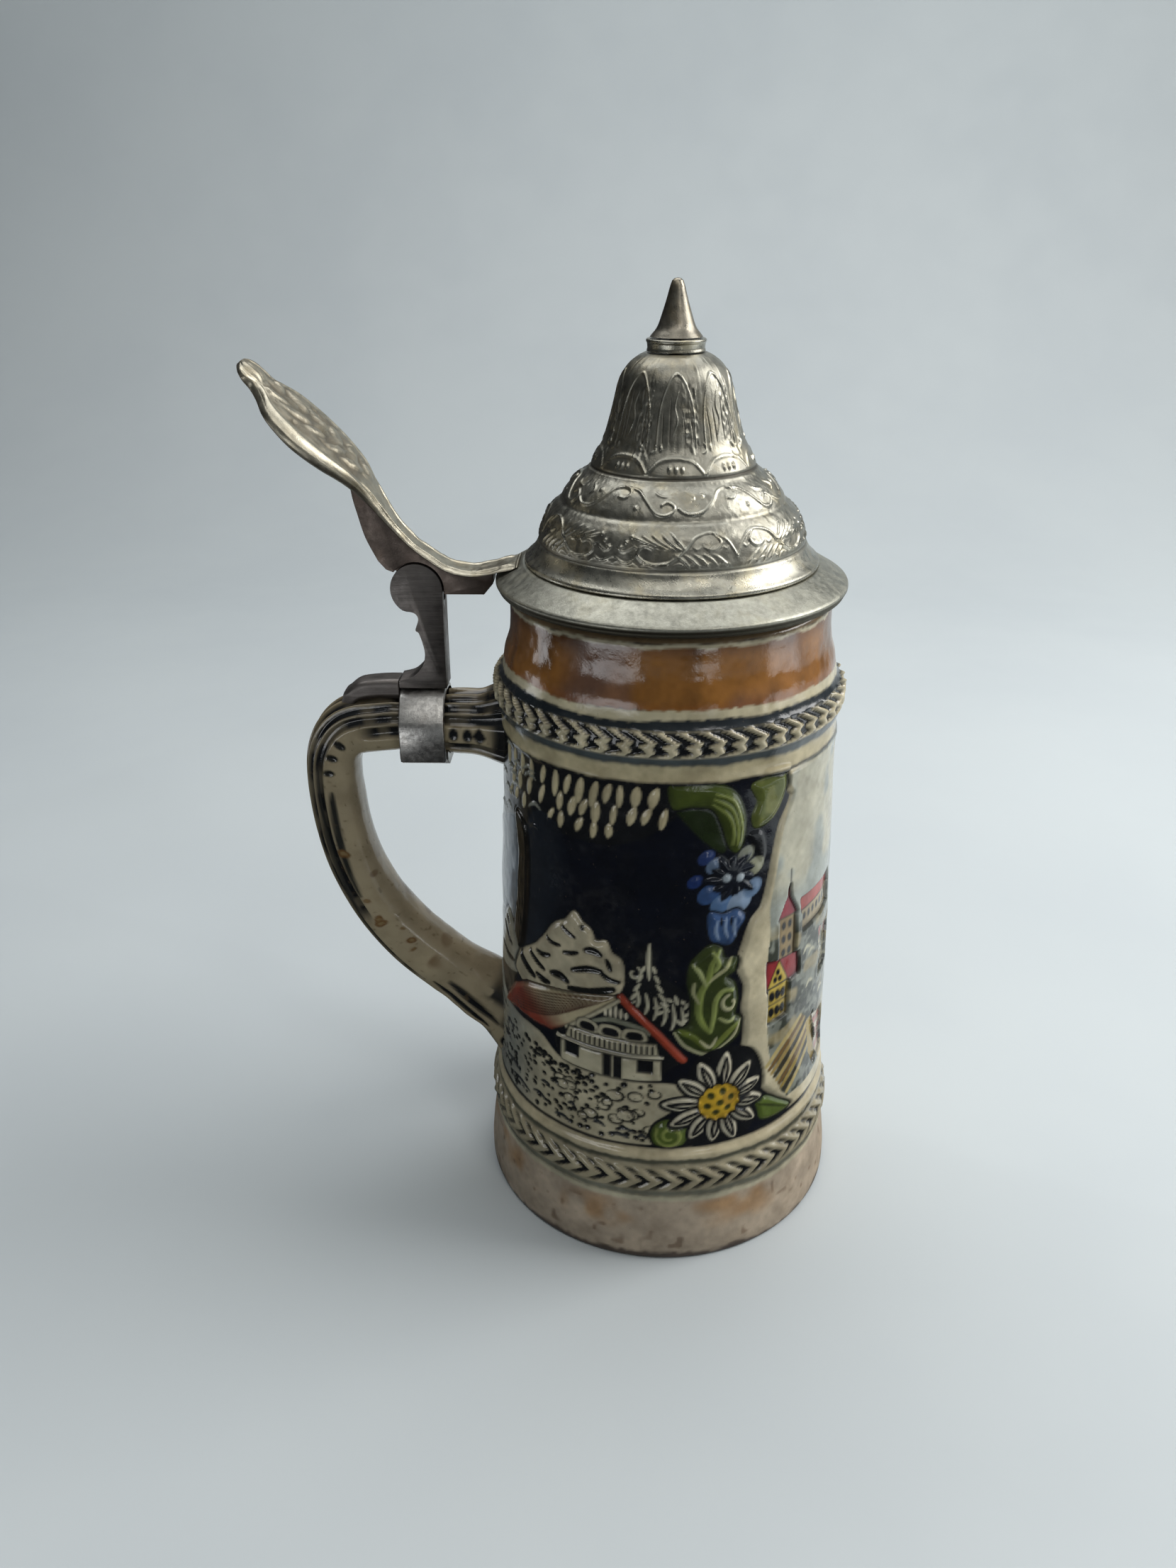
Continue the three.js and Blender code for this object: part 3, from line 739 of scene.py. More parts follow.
def mountain(c):
    """Sky, a tree trunk and the peak behind the cottage."""
    mist = 0x20262E
    c.fill([(-39, 114), (-28, 116), (-24, 100), (-26, 78), (-44, 78)], mist, None, 0,
           shade=lambda x, y: (smooth(x, -36, -22), NAVY))
    pale_sky = 0x76808B
    c.fill([(-64, 103), (-54, 109), (-46.5, 112), (-44, 108), (-44.3, 96), (-46, 84), (-64, 84)],
           pale_sky, 0.15, 0.3)
    c.fill([(-46, 113.5), (-43, 114.5), (-39.5, 111), (-38.2, 100), (-39, 88), (-41, 78), (-46, 78),
            (-44.6, 90), (-44, 104)], 0x17150F, 0.55, 0.2)
    for k in range(5):
        c.stroke([(-44 + 1.2 * k, 111 - k), (-43.2 + 1.1 * k, 96), (-44.5 + 1.2 * k, 80)], 0.4, 0x2C241A,
                 0.15, 0.6)
    c.fill([(-56, 75), (-53, 82), (-49.5, 85), (-46.5, 82), (-43.5, 78), (-43, 70), (-56, 66)], 0x9C998A, 0.4)
    c.fill([(-23, 96.2), (-20.4, 94), (-18.2, 92.6), (-17, 90.2), (-14.4, 90.8), (-12.9, 88), (-10.4, 86),
            (-9.8, 81), (-11, 74), (-30, 66), (-44, 70), (-43, 76), (-40, 79), (-36, 82), (-32.5, 86),
            (-29.8, 90), (-27.6, 92), (-25.6, 93.2)], 0xBDB297, 0.75, 0.5, 1.6,
           shade=lambda x, y: (0.35 * smooth(noise(x, y, 3, 3), 0.4, 0.8), 0x8A8471))
    strokes = [
        (1.7, (-29, 77.4), (-26.5, 77.8), (-24.3, 77)), (1.8, (-23.5, 75.4), (-18, 76.2), (-12.4, 78.4)),
        (1.4, (-22.8, 80.8), (-18.6, 82.4), (-15.4, 82.6)),
        (1.1, (-15.6, 82.4), (-13.6, 81), (-11, 80.6)), (1.5, (-19.4, 87.2), (-17.4, 87.6), (-15.6, 87)),
        (0.9, (-26, 91.4), (-24.5, 90.4), (-22.4, 89.6)),
        (1.0, (-25.4, 84.6), (-23.6, 85), (-21.6, 85.8)), (0.9, (-31, 86.6), (-29, 85.8), (-26.6, 86)),
        (1.1, (-34, 81.4), (-32, 81.2), (-29.8, 82)), (1.2, (-37, 80), (-34.4, 78.4), (-31.6, 77.2)),
        (1.7, (-41, 77.2), (-38.4, 75), (-35.2, 73.6)), (1.4, (-34, 74.8), (-32, 74.2), (-30, 74.2)),
        (0.9, (-20.8, 93), (-20.3, 92.4)), (1.0, (-14, 86), (-13, 83.5)),
        (1.2, (-52, 80), (-49.5, 77), (-47, 76)), (1.0, (-50.5, 82.5), (-49, 81)),
        (1.2, (-54, 73), (-50, 71.5), (-46, 72)),
    ]
    for width, *line in strokes:
        c.stroke(line, width * 1.4, 0x1A1B18, -0.5, 0.35)


def pine_tree(c):
    """The small snowy fir and the bush beside the roof."""
    c.fill([(-4.2, 92), (-9, 82), (-9.5, 74), (7, 66), (8, 74), (3, 80), (-1.8, 84)], INK, 0.1, 0)
    snow = 0xB7B29B
    c.stroke([(-4.1, 91.4), (-4.3, 87), (-4, 82)], 1.1, snow, 0.5, 0.7)
    for side in (-1, 1):
        for k in range(5):
            z = 87.4 - 2.4 * k
            reach = 1.6 + 0.85 * k
            line = [(-4.2, z), (-4.2 + side * reach * 0.6, z - 1.9), (-4.2 + side * reach, z - 3.6 - 0.2 * k)]
            c.stroke(line[1:], 0.85, snow, 0.45, 0.6)
    c.stroke(curl((-7.6, 83.4), 1.9, 60, -0.8), 0.7, snow, 0.4, 0.3)
    for k in range(11):
        angle = math.radians(-75 + 25 * k)
        near, far = 2.6 + 0.8 * (k % 2), 4.9 - 0.5 * (k % 3)
        root = (2.0 + near * math.cos(angle), 73.2 + 0.9 * near * math.sin(angle))
        tip = (2.0 + far * math.cos(angle + 0.25), 73.2 + 0.9 * far * math.sin(angle + 0.25))
        c.stroke([root, tip], 1.0, snow, 0.45, 0.5)
    for k in range(6):
        s = -6.8 + 2.1 * k
        c.stroke([(s, 79 - 0.9 * k), (s + 0.5, 76 - 1.2 * k), (s - 0.2, 73.8 - 1.4 * k)], 0.8, snow, 0.4, 0.6)


def cottage(c):
    """The alpine cottage: a long red roof, a gable with a balcony, and its ground floor."""
    wall = 0xB9B197
    c.fill([(-10.5, 76.5), (4.5, 59.5), (0, 56), (-1, 52.5), (-27, 53), (-29, 60)], INK, 0.35, 0.2,
           curved=False)
    roof = [(-10.2, 76.8), (-20, 74.8), (-30, 72.6), (-38.5, 70), (-45, 65.8), (-49, 61.2), (-52.5, 56.6),
            (-50, 56.4), (-44, 58.6), (-36, 59.4), (-29.6, 60.4), (-24.4, 64.2), (-18.6, 69.2)]
    c.fill(roof, 0x8C3D2C, 0.8, 0.5, 1.4, False,
           shade=lambda x, y: (smooth(0.55 * x + (y - 64), -21, -10) * 0.95, 0xB5AA8A))
    for k in range(9):
        w = k / 8
        line = [(-12 - 8 * w, 75.8 - 4.6 * w), (-26 - 5 * w, 72.4 - 8 * w), (-40 - 6 * w, 67.6 - 8 * w)]
        c.stroke(line, 0.45, 0x4A3024, -0.2, 0.8)
    c.stroke([(-10.6, 76.4), (-1.4, 66.6), (4.4, 59.6)], 1.9, 0xA8452E, 0.75, 0.0, 0.5)
    c.stroke([(-11, 75.4), (-19.2, 68.4), (-25, 63.4)], 0.9, wall, 0.3)
    for k in range(5):
        s = -14.2 + 1.25 * k
        c.stroke([(s, 70.8), (s, 73.6 - 0.7 * abs(k - 2))], 0.75, PALE, 0.3, 0.4)
    c.stroke([(-17.4, 68.2), (-12.6, 69.8), (-6, 68.6), (-3.8, 67)], 1.3, 0x7F806F, 0.25, 0.4)
    for s in (-19, -13.1, -7.2):
        c.fill([(s - 2.7, 64.6), (s - 2.5, 67.4), (s, 68.1), (s + 2.5, 67.4), (s + 2.7, 64.6)], wall,
               0.35, 0.15)
        c.fill([(s - 1.9, 65.0), (s - 1.7, 66.8), (s, 67.2), (s + 1.7, 66.8), (s + 1.9, 65.0)], INK, -0.1, 0)
    c.fill([(-25.2, 60.9), (-24, 64.2), (-2, 64.2), (-1.4, 60.9)], wall, 0.6, 0.4, 0.6, False)
    for k in range(17):
        s = -23.2 + 1.27 * k
        c.stroke([(s, 61.5), (s, 63.5)], 0.6, INK, -0.35)
    c.stroke([(-27.4, 60.3), (-14, 60.2), (-0.6, 60.5)], 0.8, PALE, 0.45)
    c.fill([(-26.5, 59.6), (-0.8, 59.6), (-0.6, 53.6), (-12, 52.8), (-26.5, 53.2)], wall, 0.5, 0.3, 0.8,
           False)
    openings = [(-25, -21.4, 56.3, 59.4), (-6.2, -2.9, 56, 59.1), (-14.6, -12.9, 53.2, 59.2),
                (-12.1, -10.4, 53.2, 59.2), (-36, -33.6, 57.2, 58.6)]
    for s0, s1, z0, z1 in openings:
        c.fill([(s0, z0), (s1, z0), (s1, z1), (s0, z1)], INK, 0.0, 0.3, 0.5, False)
    c.stroke([(-12.5, 53.4), (-12.5, 59)], 0.4, wall, 0.2)
    c.stroke([(-15.3, 53.2), (-15.2, 59)], 0.4, wall, 0.2)
    c.stroke([(-9.7, 53.2), (-9.8, 59)], 0.4, wall, 0.2)
    c.stroke([(-9.5, 53), (-5, 52.4), (0.5, 53.2)], 0.9, INK, -0.2, 0.5)


def meadow(c, seed):
    """The stony ground in front of the cottage: cream with dark pebbles and tufts."""
    ground = [(-62, 62), (-55, 58.5), (-46, 57), (-34, 57.4), (-26, 53.4), (-12, 52.6), (3, 52.4),
              (5, 47), (-2, 41), (-4, 34.2), (-62, 34.2)]
    c.fill(ground, 0xB5AC92, 0.35, 0.3, 1.2,
           shade=lambda x, y: (smooth(-x, 30, 48) * 0.65, 0x7E8584))
    spots = np.random.default_rng(seed)
    placed = []
    while len(placed) < 330:
        s, z = spots.uniform(-58, -2.5), spots.uniform(35.4, 56.5)
        if z > 52.2 + 0.1 * max(0, -s - 26) or any((s - a) ** 2 + (z - b) ** 2 < 1.7 for a, b in placed):
            continue
        placed.append((s, z))
        bushy = smooth(np.array(z), 44, 51) * smooth(np.array(8 - abs(s + 27) / 1.6), 0, 4)
        if spots.random() > 0.5 + 0.5 * bushy:
            continue
        radius = spots.uniform(0.5, 0.85) + 0.2 * float(bushy)
        c.dot((s, z), radius * 1.15, 0x1A1D1A, -0.5, spots.uniform(0.55, 0.95), spots.uniform(-0.6, 0.6))
    for k in range(20):
        spot = (-27 + 25 * hashed(k, seed, 71), 38.6 + 11 * hashed(k, seed, 72))
        size = 1.3 + 0.9 * hashed(k, seed, 73)
        c.dot(spot, size * 0.8, 0xBDB49A, 0.35, 0.75)
        ring = [(x, spot[1] + 0.75 * (z - spot[1])) for x, z in curl(spot, size, 90 * k, 0.9, 1.0, 9)]
        c.stroke(ring, 0.6, 0x22241F, -0.3, 0.5)
    tufts = [(-50, 40, 8), (-46, 37.2, 9), (-36, 38.4, 5), (-28, 36, 5), (-11, 38, 4), (-13, 36.2, 5),
             (-17, 38.2, 3), (-5.8, 36.6, 2), (-33, 43, 3), (-54, 46, 6), (-51, 51, 5), (-24, 41, 2)]
    for s, z, length in tufts:
        c.stroke([(s, z), (s + length / 2, z + 0.5), (s + length, z - 0.4)], 1.1, 0x34373A, -0.3, 0.7)


def gentians(c):
    """The blue flowers and the ribbon leaves above them."""
    c.fill([(1, 126), (8, 128), (13, 122), (13, 114), (9, 116), (4, 121)], 0x232E16, 0.1, 0.2)
    c.fill([(-0.5, 131), (5, 131.2), (11, 130.6), (15.6, 127.4), (18, 121.6), (17.6, 115.6),
            (15.8, 113.4), (13.6, 115.4), (11.8, 120.6), (9.6, 124.4), (5, 125.4), (0.4, 125.2)], OLIVE,
           0.8, 0.5, 1.8)
    for shift in (0, 1.5, 3.0):
        c.stroke([(9.4 + shift * 0.2, 126 + shift * 0.85), (13.2 + shift * 0.5, 123 + shift),
                  (14.6 + shift * 0.75, 119.6), (14.6 + shift * 0.7, 115.6)], 0.75, LEAF_GREEN, 0.2, 0.5)
    c.fill([(19, 129), (22.6, 130.4), (28, 130.8), (29.6, 127), (27.6, 122), (24.6, 119.2), (20.6, 118.4),
            (19.4, 121.4), (20.6, 125)], 0x606832, 0.8, 0.5, 1.8,
           shade=lambda x, y: (0.6 * smooth(noise(x, y, 2.4, 4), 0.5, 0.8), 0x8A8B50))
    c.fill([(18.4, 117), (20.4, 118), (22.8, 117), (24, 113), (23.4, 109.4), (21.6, 110), (20.6, 113)],
           INK, 0.35, 0)
    c.fill([(22, 131), (22.6, 132.4), (29.4, 132.2), (29.4, 129.8), (25, 130)], INK, 0.4, 0)
    petals = [
        ((8.5, 113), 2.2, 0x26396A), ((10.6, 110.8), 2.3, 0x667A96), ((9.4, 103.8), 3.0, 0x33507F),
        ((12.4, 101), 2.9, 0x54739C), ((17, 100.6), 3.4, 0x8093AB), ((20.4, 103.6), 2.8, 0x687F9C),
        ((6, 107.2), 2.0, 0x1F3468), ((21, 109), 2.6, 0x94957F), ((18.4, 112.4), 2.4, 0x85887A),
    ]
    for spot, radius, tone in petals:
        c.dot(spot, radius, tone, 0.35, 0.75, 0.6)
    for k in range(11):
        angle = math.radians(20 + 360 / 11 * k)
        reach = 6.6 if k % 2 else 5.2
        tip = (15 + reach * 1.1 * math.cos(angle), 107.6 + reach * 0.9 * math.sin(angle))
        middle = (15 + 3 * math.cos(angle + 0.15), 107.6 + 3 * math.sin(angle + 0.15))
        c.stroke([(15, 107.6), middle, tip], 2.6, 0x161B26, 0.5, 0.75)
    c.dot((13.4, 107.6), 1.0, 0xA9B3BA, 0.3)
    c.dot((16.8, 107.2), 1.0, 0xA9B3BA, 0.3)
    c.fill([(9.4, 99), (13, 98.4), (16.4, 99.2), (18.6, 96.6), (17, 93.6), (15.4, 90.4), (12.4, 90.6),
            (9.8, 92.8)],
           0x38527C, 0.65, 0.5, 1.6)
    for s, z in ((11.4, 97), (13.6, 97.4), (15.8, 97)):
        c.stroke([(s, z), (s - 0.3, z - 2.6), (s + 0.5, z - 5)], 0.8, 0x8397B4, 0.25, 0.6)
    for s, z in ((12.4, 97.6), (14.8, 97.4)):
        c.stroke([(s, z), (s - 0.1, z - 1.8)], 0.7, INK, -0.2, 0.5)


def oak_leaf(c):
    """The tall green leaf with its curl, and the lobes at its foot."""
    dark = 0x39431E
    c.fill([(5.2, 86), (7, 88.6), (10, 90.8), (12.8, 89.8), (14, 86.8), (17, 86.4), (16.6, 83),
            (14.8, 81.6), (16.6, 79.6), (17.6, 75), (17, 71), (18.6, 69.4), (18, 64.6), (14, 61.8),
            (10.6, 60.6), (6, 62.4), (2, 67.6), (5.4, 70), (5.6, 76), (4.8, 81)], dark, 0.8, 0.5, 2.0)
    veins = [
        (1.7, 0x7F8B48, (12.4, 89), (10.4, 86), (9.6, 82), (8, 78.6), (7.6, 73), (8.8, 69.6),
         (10.4, 67.4)),
        (1.4, 0x8F9A58, (10.6, 67.6), (11.2, 72), (11.6, 76), (13.4, 78.4), (16, 78)),
        (1.0, 0xA8A87C, (15.4, 86.6), (13.6, 84.2), (11.4, 82.8), (9.8, 81.4)),
        (1.1, 0xB4B28C, (2.2, 67.4), (4.6, 63.8), (8.6, 61.2), (10.6, 60.8)),
        (1.1, 0xB4B28C, (18.2, 69), (16.6, 65.6), (13.6, 62.6), (11, 61)),
        (1.5, 0x66722F, (3.4, 68), (6.4, 66.6), (9.6, 63)),
        (1.5, 0x77823C, (17.4, 68.6), (14.6, 66.4), (11.4, 62.8)),
        (1.1, 0x9FA670, (6, 86), (7.6, 84), (9, 80.6)),
        (0.9, 0xA8A87C, (7.4, 76), (6.2, 78.6), (6.4, 81.4)),
        (0.9, 0x9FA670, (12.6, 71), (14.6, 69.6), (16.6, 70.2)),
        (0.8, 0xB4B28C, (8, 65.4), (10.4, 63.2), (12, 65.6)),
        (1.3, 0x8F9A58, (10.6, 89), (12, 86), (11, 84)),
    ]
    for width, tone, *line in veins:
        c.stroke(line, width, tone, 0.3, 0.45)
    c.stroke(curl((15.2, 74.6), 2.4, 100, 0.85, 0.35), 1.0, 0xB4B28C, 0.35, 0.3)


def edelweiss(c):
    """The white flower low on the mug, with a green curl and a leaf beside it."""
    c.fill([(6, 46), (6, 56), (9, 60.5), (14, 62), (22, 59.5), (25.6, 50), (24, 40), (20, 34.4),
            (3, 34.4)], INK, 0.05, 0)
    c.fill([(24, 42.8), (27.4, 42.6), (31.6, 39.4), (35.8, 35.6), (30, 35.2), (25.6, 36.4), (24.4, 39.6)],
           0x5C6D2E, 0.6)
    c.stroke([(24.6, 41.4), (29, 39), (34.4, 35.8)], 0.7, 0x39431E, -0.2, 0.4)
    c.fill(curl((1.6, 37.6), 4.4, 0, 0.92, 1.0), 0x54632A, 0.8, 0.7, 1.8)
    c.stroke(curl((1.6, 37.6), 3.4, 150, 1.4, 0.3, 16), 0.9, 0x8C9650, 0.25, 0.4)
    centre = (13.6, 46)
    petals = ((84, 14.4), (113, 13.4), (143, 12.6), (178, 14.0), (206, 13.2), (234, 12), (262, 11.4),
              (289, 12.6), (320, 12.8), (348, 12.2), (18, 11.6), (50, 12.6))
    for degrees, reach in petals:
        angle = math.radians(degrees)
        ahead = np.array([math.cos(angle), math.sin(angle)])
        side = np.array([-ahead[1], ahead[0]])
        root = np.array(centre) + 4.6 * ahead
        length = reach - 4.6

        def on(along, across):
            return tuple(root + length * along * ahead + across * side)
        c.fill([on(0, 0.8), on(0.35, 1.9), on(0.72, 1.5), on(1, 0), on(0.72, -1.5), on(0.35, -1.9),
                on(0, -0.8)],
               PALE, 0.7, 0.9, 1.0)
        for across in (-0.55, 0.55):
            c.stroke([on(0.0, across * 0.5), on(0.45, across * 1.2), on(0.85, across * 0.3)], 0.95, INK,
                     -0.35, 0.4)
    c.dot(centre, 5.1, YELLOW, 0.7, rim=0.6)
    c.dot((centre[0] + 2.6, centre[1] + 0.6), 2.2, 0xA8842E, 0.0)
    for k in range(7):
        angle = math.radians(60 * k + 15)
        reach = 0 if k == 6 else 3.1
        spot = (centre[0] + reach * math.cos(angle), centre[1] + reach * math.sin(angle))
        c.dot(spot, 0.95, 0x4C4A1C, -0.35)


PANEL_EDGE = [(28.6, 130.6), (30.8, 124), (27.6, 118), (26, 112), (24.4, 104), (22.8, 98.4), (20, 95.4),
              (18, 90), (16.6, 84), (18.8, 78), (18.4, 72), (19.2, 66), (19, 60), (21, 54), (24, 48),
              (28, 43), (33, 38.4), (38, 34.4)]
DECAL_EDGE = [(35, 130.6), (31.6, 124), (29, 118), (27.6, 112), (26.4, 104), (25.2, 97), (25.6, 90),
              (25, 84), (25.6, 70), (26, 62), (27.2, 54), (30, 46), (33, 40.6), (40, 39)]


def mirrored(points, middle=66):
    return [(2 * middle - s, z) for s, z in reversed(points)]


def parchment(c):
    """The smooth cream panel opposite the handle, with its torn edge."""
    c.fill(PANEL_EDGE + mirrored(PANEL_EDGE), 0xCBC0A2, 0.75, 0.5, 1.4)


def old_town(c, seed):
    """A printed view of a made-up old town: sky, spires, a long castle roof, gabled houses and fields."""
    print_ink = 0x35383A
    picture = DECAL_EDGE + mirrored(DECAL_EDGE)
    c.fill(picture, 0x9DA29A, None, 0)
    where, x, z = c.window(np.array(picture), 0)
    inside = c.near(spline(c.place(picture), 5, True), x, z, True)[2] * 1.0
    cloud = smooth(noise(x, z, 11, seed) * 0.6 + noise(x, z, 4, seed + 1) * 0.4, 0.42, 0.62)
    c.put(where, inside * smooth(z, 96, 104) * cloud * 0.75, 0xC2BCA4)
    grain = noise(x, z, 1.2, seed + 2) * 0.5 + noise(x, z * 1.6, 3.2, seed + 3) * 0.5
    land = inside * smooth(94 - z, 0, 8)
    c.put(where, land * 0.8, 0x787B70)
    c.put(where, land * smooth(grain, 0.38, 0.6) * 0.9, 0x33372F)
    c.put(where, land * smooth(noise(x, z, 5, seed + 4), 0.62, 0.8) * 0.7, 0xA89A74)

    def polygon(points, color):
        c.fill(points, color, 0.0, 0.3, 0.5, False)

    def roads(s0, z0, bend):
        for shift, tone, width in ((0, 0xB5A36E, 2.2), (0.4, 0x9C8850, 1.0)):
            line = [(s0, z0 + shift), (s0 + 6, z0 + 4 + shift), (s0 + 13, z0 + 8 + bend),
                    (s0 + 20, z0 + 9.4 + bend)]
            c.stroke(line, width, tone, 0, 0.2, 0.3 if width > 2 else 0)
    furrows = [0xB5A36E, 0x6E5634, 0x9A8450, 0x3A362A, 0xB09A62, 0x6E5634, 0xA08A4C, 0x3A362A, 0xB5A36E]
    for k, tone in enumerate(furrows):
        s0, z0 = 26.2 + 0.95 * k, 52.4 - 1.45 * k
        c.stroke([(s0, z0), (s0 + 5, z0 + 4.6), (s0 + 12, z0 + 9 + 0.5 * k)], 1.5, tone, 0, 0.2)
    polygon([(42, 57), (45, 58.4), (47, 50), (51.6, 42), (48, 40.4), (44, 47)], 0xA08A4C)
    for k in range(7):
        tone = 0xAE6152 if k % 2 else 0xC9BDA5
        polygon([(46 + 0.9 * k, 57 - 2.5 * k), (54 + 0.9 * k, 54.6 - 2.5 * k),
                 (54.8 + 0.9 * k, 52.2 - 2.5 * k), (46.8 + 0.9 * k, 54.6 - 2.5 * k)], tone)

    def house(s, z, width, height, gable, wall, roof):
        polygon([(s, z), (s + width, z + 0.8), (s + width, z + height), (s, z + height - 0.6)], wall)
        polygon([(s - 0.4, z + height - 0.6), (s + width + 0.4, z + height),
                 (s + width * 0.5, z + height + gable)], wall)
        left = [(s - 1.2, z + height + gable + 1), (s + width * 0.5, z + height + gable),
                (s - 0.6, z + height - 0.8)]
        right = [(s + width * 0.5 + 0.4, z + height + gable), (s + width + 3.4, z + height + gable - 0.2),
                 (s + width + 4, z + height), (s + width + 0.6, z + height)]
        polygon(left, roof)
        polygon(right, roof)
        for row in range(2):
            for k in range(3):
                at = (s + width * (0.2 + 0.3 * k), z + height * (0.25 + 0.45 * row))
                c.dot(at, 0.95, INK, 0, 1.5)
        for u, v in ((0.36, 0.2), (0.62, 0.2), (0.48, 0.5)):
            c.dot((s + width * u, z + height + gable * v), 0.7, INK, 0, 1.3)
        c.stroke([(s, z + height - 0.6), (s + width, z + height)], 0.5, print_ink, 0)
        c.stroke([(s, z + height * 0.47), (s + width, z + height * 0.5)], 0.4, print_ink, 0)

    def tower(s, z, width, body, spire, roof):
        polygon([(s - width / 2, z), (s + width / 2, z), (s + width / 2, z + body),
                 (s - width / 2, z + body)], 0x8C7852)
        polygon([(s - width / 2 - 0.6, z + body), (s + width / 2 + 0.6, z + body),
                 (s + 0.5, z + body + spire * 0.6), (s, z + body + spire),
                 (s - 0.5, z + body + spire * 0.6)], roof)
        c.stroke([(s, z + body + spire - 1), (s, z + body + spire + 4)], 0.45, INK, 0)
        for k in range(3):
            for side in (-1, 1):
                c.dot((s + side * width * 0.2, z + body * (0.2 + 0.3 * k)), 0.75, INK, 0, 1.5)

    def castle(s, z, length):
        polygon([(s, z), (s + length, z), (s + length, z + 5.4), (s, z + 5.4)], 0x9F9070)
        polygon([(s - 0.6, z + 5.2), (s + length + 0.8, z + 5.2), (s + length - 1.4, z + 9),
                 (s - 1.2, z + 9)], 0xA3473F)
        for k in range(int(length / 2.3)):
            c.dot((s + 1.4 + 2.3 * k, z + 3), 0.7, INK, 0, 1.5)
    castle(37.4, 86.4, 17)
    castle(74, 84, 22)
    tower(31.7, 80.5, 5.4, 12, 8.6, 0x8E2F3C)
    tower(62, 84, 6.4, 14, 11, 0x6D3A38)
    house(26.2, 64.8, 6.2, 10, 6.6, 0xBEA54C, 0x8E2C31)
    house(48, 68, 7, 8, 5, 0xB9B190, 0x9A4A3C)
    house(62, 62, 8, 9, 6, 0xA99260, 0x7C3A32)
    house(78, 66, 7, 9, 6, 0xC2B68C, 0xA04A3A)
    house(92, 60, 6.6, 9, 6, 0xB89A50, 0x8C3A34)
    roads(60, 46, 2)
    roads(80, 42, 1)
    for k in range(30):
        s, low = 38 + 66 * hashed(k, 0, seed + 7), 62 + 20 * hashed(k, 1, seed + 7)
        tone = 0xB7B49C if k % 3 else print_ink
        c.stroke([(s, low), (s + 1.4, low + 1.2), (s + 3.4, low + 0.3)], 1.0, tone, 0, 0.6)


def paint_wall(c):
    """Everything between the two braided rings, on both sides of the mug."""
    c.fill([(-75, 34.2), (210, 34.2), (210, 130.8), (-75, 130.8)], NAVY, None, 0, 1, False)
    parchment(c)
    old_town(c, 40)
    for side in (0, 1):
        if side:
            c.place = lambda points: np.array(points, float).reshape(-1, 2) * (-1, 1) + (FAR_SIDE, 0)
        pine_branches(c)
        mountain(c)
        pine_tree(c)
        cottage(c)
        meadow(c, 7 + side)
        gentians(c)
        oak_leaf(c)
        edelweiss(c)


def stein_body():
    """The mug: its painted wall as a turned surface raised by the canvas, a hollow inside and a foot."""
    step = 0.4
    columns = round(ROUND / step)
    across = HANDLE_ACROSS + np.arange(columns) * ROUND / columns
    outside = resampled(spline(body_outside, 8), step)
    canvas = Canvas(across, np.maximum.accumulate(outside[:, 1]), NAVY)
    paint_wall(canvas)
    rings_and_bands(canvas)
    x, z = np.meshgrid(across, outside[:, 1])

    def grain(size, seed):
        return noise(x, z, size, seed, ROUND)
    lift = canvas.height + 0.16 * (grain(7, 2) - 0.5) + 0.1 * (grain(2.1, 5) - 0.5)
    lift *= smooth(z, 0.5, 6) * smooth(160.5 - z, 0, 6)
    around = blurred(canvas.height, round(1.4 / step))
    hollow = smooth(around - canvas.height, 0.02, 0.3) * smooth(z, 20, 23) * smooth(146 - z, 0, 2)
    color = canvas.color + (INK - canvas.color) * (0.5 * hollow)[..., None]
    color *= 0.82 + 0.36 * grain(5, 14)[..., None]
    color *= 0.9 + 0.2 * grain(1.2, 17)[..., None]

    radius, height = displaced(outside, lift)
    inner = resampled(softened(body_inside, 0.7), 2.0)[:-1]
    floor = np.array([(34, 0), (44, 0)])
    wall = np.minimum(radius, base_radius), height
    grid = rings_of([round_rows(floor, columns), wall, round_rows(inner, columns)], across / ROUND)
    obj = outward(new_object("stoneware_body", *capped(grid)))

    clay, glaze = srgb(0x8F7B69), srgb(0x8E7F63)
    below = np.ones((len(floor), columns, 3)) * clay
    inside = np.ones((len(inner), columns, 3)) * glaze
    paint = np.concatenate([below, color, inside]).reshape(-1, 3)
    set_color(obj, "paint", np.concatenate([paint, [clay, glaze]]))
    bare = np.concatenate([np.ones((len(floor), columns)), smooth(20.5 - z, 0, 2.5),
                           np.zeros((len(inner), columns))])
    set_value(obj, "bare", np.concatenate([bare.ravel(), [1, 0]]))
    return obj


stoneware = painted_stoneware("glazed_painted_stoneware")
piece(stein_body(), "mug", "painted_stoneware", stoneware, "stein_body")

# ---------------------------------------------------------------- the handle

handle_path = [
    (-36, 128.2), (-44, 128.2), (-52, 128.6), (-60, 128.6), (-68, 128.6), (-76.8, 127), (-81.4, 121.2),
    (-82.5, 111.7), (-81.5, 99.5), (-78.8, 88), (-73.7, 76.6), (-66.5, 66.5), (-57.9, 58.2), (-49.2, 51),
    (-41.5, 45.2), (-36, 41.5),
]
handle_thickness = [(0, 11), (0.09, 7.6), (0.16, 7.4), (0.3, 7.2), (0.42, 6.5), (0.6, 6.6), (0.8, 7.4),
                    (0.9, 9), (1, 13)]
handle_width = [(0, 10.5), (0.09, 7.9), (0.16, 7.5), (0.8, 7.5), (0.9, 8.4), (1, 11)]
HANDLE_GIRTH = 48    # the way round the handle, for placing its paint


